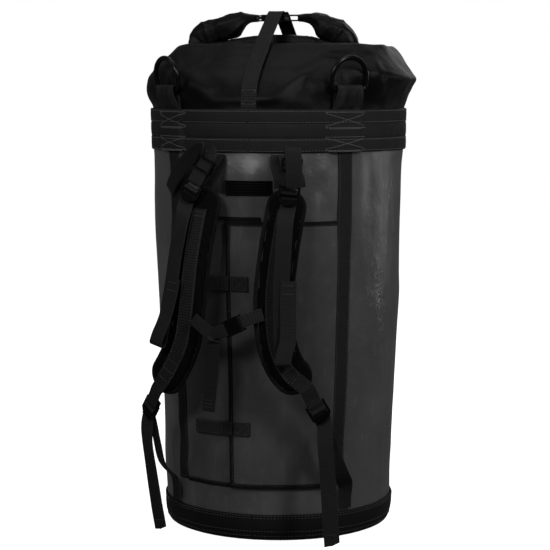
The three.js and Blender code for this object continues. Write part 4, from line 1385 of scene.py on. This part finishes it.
def makePad(side):
    route = padRoute(side)
    shrink = pads["start"]

    def section(i, turn):
        share = route.lengths[i] / route.total
        angle = turn * math.tau
        c, s = math.cos(angle), math.sin(angle)
        across = (padHalfWidth(route, share) - 0.8) * math.copysign(abs(c) ** 0.5, c)
        crown = pads["thick"] / 2 * shrink * (1 - 0.12 * abs(c) ** 3)
        out = crown * math.copysign(abs(s) ** 0.5, s)
        return route.line[i] + route.across[i] * across + route.face[i] * out

    bm = tube(route.line, section, 28)
    bmesh.ops.recalc_face_normals(bm, faces=bm.faces[:])
    bmesh.ops.scale(bm, vec=(0.001, 0.001, 0.001), verts=bm.verts[:])
    mesh = bpy.data.meshes.new("padStart")
    bm.to_mesh(mesh)
    bm.free()
    pad = bpy.data.objects.new(f"shoulderPad{side.capitalize()}", mesh)
    bpy.context.scene.collection.objects.link(pad)
    remesh = pad.modifiers.new("remesh", "REMESH")
    remesh.mode = "VOXEL"
    remesh.voxel_size = pads["voxel"] / 1000
    pad.data = evaluatedMesh(pad)
    pad.modifiers.clear()
    rest = [v.co.copy() for v in pad.data.vertices]
    cloth = pad.modifiers.new("cloth", "CLOTH")
    cloth.settings.use_pressure = True
    cloth.settings.uniform_pressure_force = pads["pressure"]
    cloth.settings.effector_weights.gravity = 0
    cloth.settings.quality = 5
    for number in range(1, 21):
        bpy.context.scene.frame_set(number)
    swollen = evaluatedMesh(pad)
    pad.modifiers.clear()
    cap = pads["cap"] / 1000
    for vert, old in zip(swollen.vertices, rest):
        move = vert.co - old
        if move.length > cap:
            vert.co = old + move.normalized() * cap
    pad.data = swollen
    bpy.context.scene.frame_set(1)
    # sewn edge: the cushion pinches to a thin rim
    bm = bmesh.new()
    bm.from_mesh(pad.data)
    last = len(route.line) - 1
    for vert in bm.verts:
        p = vert.co * 1000
        i = min(range(last + 1), key=lambda k: (route.line[k] - p).length)
        aside = (p - route.line[i]).dot(route.across[i])
        half = padHalfWidth(route, route.lengths[i] / route.total)
        pinch = smoothStep(half - 11, half - 2, abs(aside))
        depth = (p - route.line[i]).dot(route.face[i])
        # sewn channel down each side of the middle webbing
        channel = math.exp(-((abs(aside) - 17.5) / 2.2) ** 2) * 1.1
        target = depth * (1 - 0.72 * pinch)
        target -= math.copysign(min(channel, abs(target) * 0.5), depth) * (1 - pinch)
        ripple = softNoise(p.x / 16, p.z / 12, p.y / 30, 61) * 0.5 * (1 - pinch)
        vert.co += route.face[i] * (target - depth + ripple * math.copysign(1, depth)) / 1000
    bmesh.ops.smooth_vert(bm, verts=bm.verts[:], factor=0.25, use_axis_x=True, use_axis_y=True,
                          use_axis_z=True)
    for face in bm.faces:
        face.smooth = True
    bm.to_mesh(pad.data)
    bm.free()
    pad.data.materials.clear()
    pad.data.materials.append(finishes["padMesh"])
    smoother = pad.modifiers.new("smoother", "SUBSURF")
    smoother.levels = smoother.render_levels = 1
    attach(pad, "harness")
    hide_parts(f"shoulder_pad_{side}")
    return route


def makePadEdge(side, route):
    # binding tape round the rim of a pad
    last = len(route.line) - 1
    outline = []
    for sign, order in ((1, range(last + 1)), (-1, range(last, -1, -1))):
        for i in order:
            share = route.lengths[i] / route.total
            outline.append((i, sign * (padHalfWidth(route, share) - 0.6)))
    outline.append(outline[0])
    line = [route.line[i] + route.across[i] * aside for i, aside in outline]
    faces = [route.face[i] for i, aside in outline]
    count = len(line) - 1

    def section(i, turn):
        ahead = line[1] if i == count else line[i + 1]
        behind = line[count - 1] if i == 0 else line[i - 1]
        aside = (ahead - behind).normalized().cross(faces[i]).normalized()
        angle = turn * math.tau
        c, s = math.cos(angle), math.sin(angle)
        flat = aside * 3.4 * math.copysign(abs(c) ** 0.6, c)
        return line[i] + flat + faces[i] * 1.9 * math.copysign(abs(s) ** 0.7, s)

    bm = tube(line, section, 12, closed=True)
    finished(f"padBinding{side.capitalize()}", bm, "harness", "binding", turn=True)


def makePadWeb(side, route):
    lower = locks[f"lower_{side}"]["frame"]
    first = next(i for i, length in enumerate(route.lengths) if length > 32)
    onPad = [route.line[i] - route.face[i] * pads["webOff"] for i in range(first, len(route.line), 3)]
    past = onPad[-1] + (onPad[-1] - onPad[-2]).normalized() * 6
    points = onPad + [past] + loopPoints(lower, 4.1, 8, 8)
    span = (route.total - 32) / (route.total + 30)
    web = Route(points, turning(aroundBag(), axis(lower, 0), span * 0.93, span * 1.03), 2.5)
    title = side.capitalize()
    ribbon(f"padWeb{title}", web, 25, "harness", "ribbedWebbing", replaces=[f"pad_web_{side}"])
    bm = bmesh.new()
    edgeRows(bm, web, 25, 2.0, 0.01, span * 0.92, -0.95, length=2.8, gap=1.8, radius=0.32)
    endRows(bm, web, 25, [0.012, 0.03, span * 0.80, span * 0.86, span * 0.92], -0.95, length=2.4, gap=1.4,
            radius=0.34)
    finished(f"padWebStitches{title}", bm, "harness", "darkThread")


upperWebs = {
    "left": {
        "anchor": (-16, (-65, -221.5, 590), (-66, -222, 578)), "lifter": (-13.5, 7.6),
        "tail": [(-56, -238.9, 630.5), (-60, -237, 636), (-68.5, -232, 637.5), (-84.5, -221, 631.5),
                 (-110, -201, 611.5), (-136, -171, 583), (-146, -158, 568)],
        "endSide": (0.529, -0.44, -0.727),
    },
    "right": {
        "anchor": (15.5, (68, -221.5, 590), (69, -222, 578)), "lifter": (16, 7.6),
        "tail": [(77, -243, 638), (79, -251, 643), (82, -258, 638), (84, -262, 622), (85, -262, 600),
                 (85, -260, 580)],
        "endSide": (0.97, 0.22, 0),
    },
}


def makeUpperWebs():
    for side, web in upperWebs.items():
        title = side.capitalize()
        phi, middle, end = web["anchor"]
        root = atRadius(phi, plainRadius(629) + 3.2, 629)
        lower = atRadius(phi, plainRadius(612) + 4.2, 612)
        route = Route([root, lower, middle, end], aroundBag(1), 2.5)
        ribbon(f"anchorWeb{title}", route, lambda share: mixed(44, 50, share), "harness",
               replaces=[f"anchor_web_{side}"], columns=12, ripple=0.4)
        bm = bmesh.new()
        endRows(bm, route, 40, [0.72, 0.84], length=2.6, gap=1.4, radius=0.34)
        finished(f"anchorStitches{title}", bm, "harness", "darkThread")
        basis = locks[f"upper_{side}"]["frame"]
        at, off = web["lifter"]
        start = atRadius(at, plainRadius(629) + off, 629)
        reach = 4.1
        bend = [basis @ Vector((0, -y, z)) for y, z in arc(0, 0, reach, 270, 90, 10)]
        points = [start, basis @ Vector((0, 18, -reach)), *bend, basis @ Vector((0, 20, reach)),
                  basis @ Vector((0, 45.5, reach)), *[Vector(p) for p in web["tail"]]]
        route = Route(points, turning(axis(basis, 0), web["endSide"], 0.5, 1.0), 2.2)
        ribbon(f"lifterWeb{title}", route, 25, "harness", replaces=[f"lifter_web_{side}"])


def makeLowerStraps():
    ends = {
        "left": (-46, [(-160, -196, 165), (-157, -172, 118)]),
        "right": (46, [(133, -208, 165), (144, -180, 118)]),
    }
    for side, (phi, middle) in ends.items():
        basis = locks[f"lower_{side}"]["frame"]
        start = basis @ Vector((0, -30, -9.5))
        foot = [atRadius(phi, plainRadius(z) + off, z) for z, off in ((86, 9), (68, 6.4), (50, 6.2))]
        points = [start, *[Vector(p) for p in middle], *foot]
        route = Route(points, turning(axis(basis, 0), acrossAt(phi), 0.05, 0.8), 2.5)
        title = side.capitalize()
        strap = ribbon(f"lowerStrap{title}", route, 25, None, replaces=[f"lower_strap_{side}"])
        low, high = route.at(0.75) / 1000, route.at(0.02) / 1000
        tuple(low)
        tuple(high)
        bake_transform(strap)
        bm = bmesh.new()
        endRows(bm, route, 25, [0.985, 0.955, 0.925], length=2.4, gap=1.4, radius=0.34)
        finished(f"lowerStrapStitches{title}", bm, "bag", "darkThread")


def makeChestStrap():
    out = Vector((-0.904, 0, -0.425))
    scale = 0.8
    basis = frameAt((-16, -272, 361), out, (0, -1, 0))
    side = axis(basis, 0)
    femaleBar = frameAt(basis @ Vector((0, -28 * scale, 0)), -out, (0, -1, 0))
    points = list(reversed(loopPoints(femaleBar, 3.5, 6, 7)))
    points += [(12, -274.5, 374), (24, -272, 379), (37, -269.5, 383)]
    right = Route(points, steady(side), 1.5)
    ribbon("sternumWebRight", right, 20, "harness", "ribbedWebbing", replaces=["sternum_web_right"],
           thick=1.5)
    points = [(-43, -272, 348.8), (-48, -272.5, 351.5), (-59, -273.5, 360), (-76, -272, 374)]
    left = Route(points, turning(side, (0.6, 0, 0.8), 0.0, 1.0), 1.5)
    ribbon("sternumWebLeft", left, 20, "harness", "narrowWebbing", replaces=["sternum_web_left"], thick=1.5)
    maleBar = frameAt(basis @ Vector((0, 12.5 * scale, 0)), out, (0, -1, 0))
    loop = list(reversed(loopPoints(maleBar, 3.5, 16, 20)))
    points = loop + [(-42, -276, 338), (-43, -275, 320), (-45, -272, 290), (-52, -268, 226)]
    tail = Route(points, turning(side, (0.99, 0, 0.1), 0.22, 0.5), 1.5)
    ribbon("sternumTail", tail, 20, "chest_clip", "narrowWebbing", replaces=["sternum_tail"], thick=1.5)
    bm = bmesh.new()
    endRows(bm, tail, 20, [0.9, 0.93, 0.96], -0.85, length=2.2, gap=1.2, radius=0.3)
    finished("sternumTailStitches", bm, "chest_clip", "darkThread")


def makeTieLoop():
    arch = [(38, 2.4), (46, 4), (52, 17), (60, 20), (68, 17), (74, 4), (82, 2.4)]
    points = [(0, plainRadius(z) - 2 - off, z) for z, off in arch]
    route = Route(points, steady((1, 0, 0)), 2.5)
    ribbon("tieLoop", route, 25, "bag", replaces=["tie_loop"])


makeTails()
print("strap tails made")
for padSide in ("left", "right"):
    madeRoute = makePad(padSide)
    makePadEdge(padSide, madeRoute)
    makePadWeb(padSide, madeRoute)
print("pads made")
makeUpperWebs()
makeLowerStraps()
makeChestStrap()
makeTieLoop()
print("harness made")
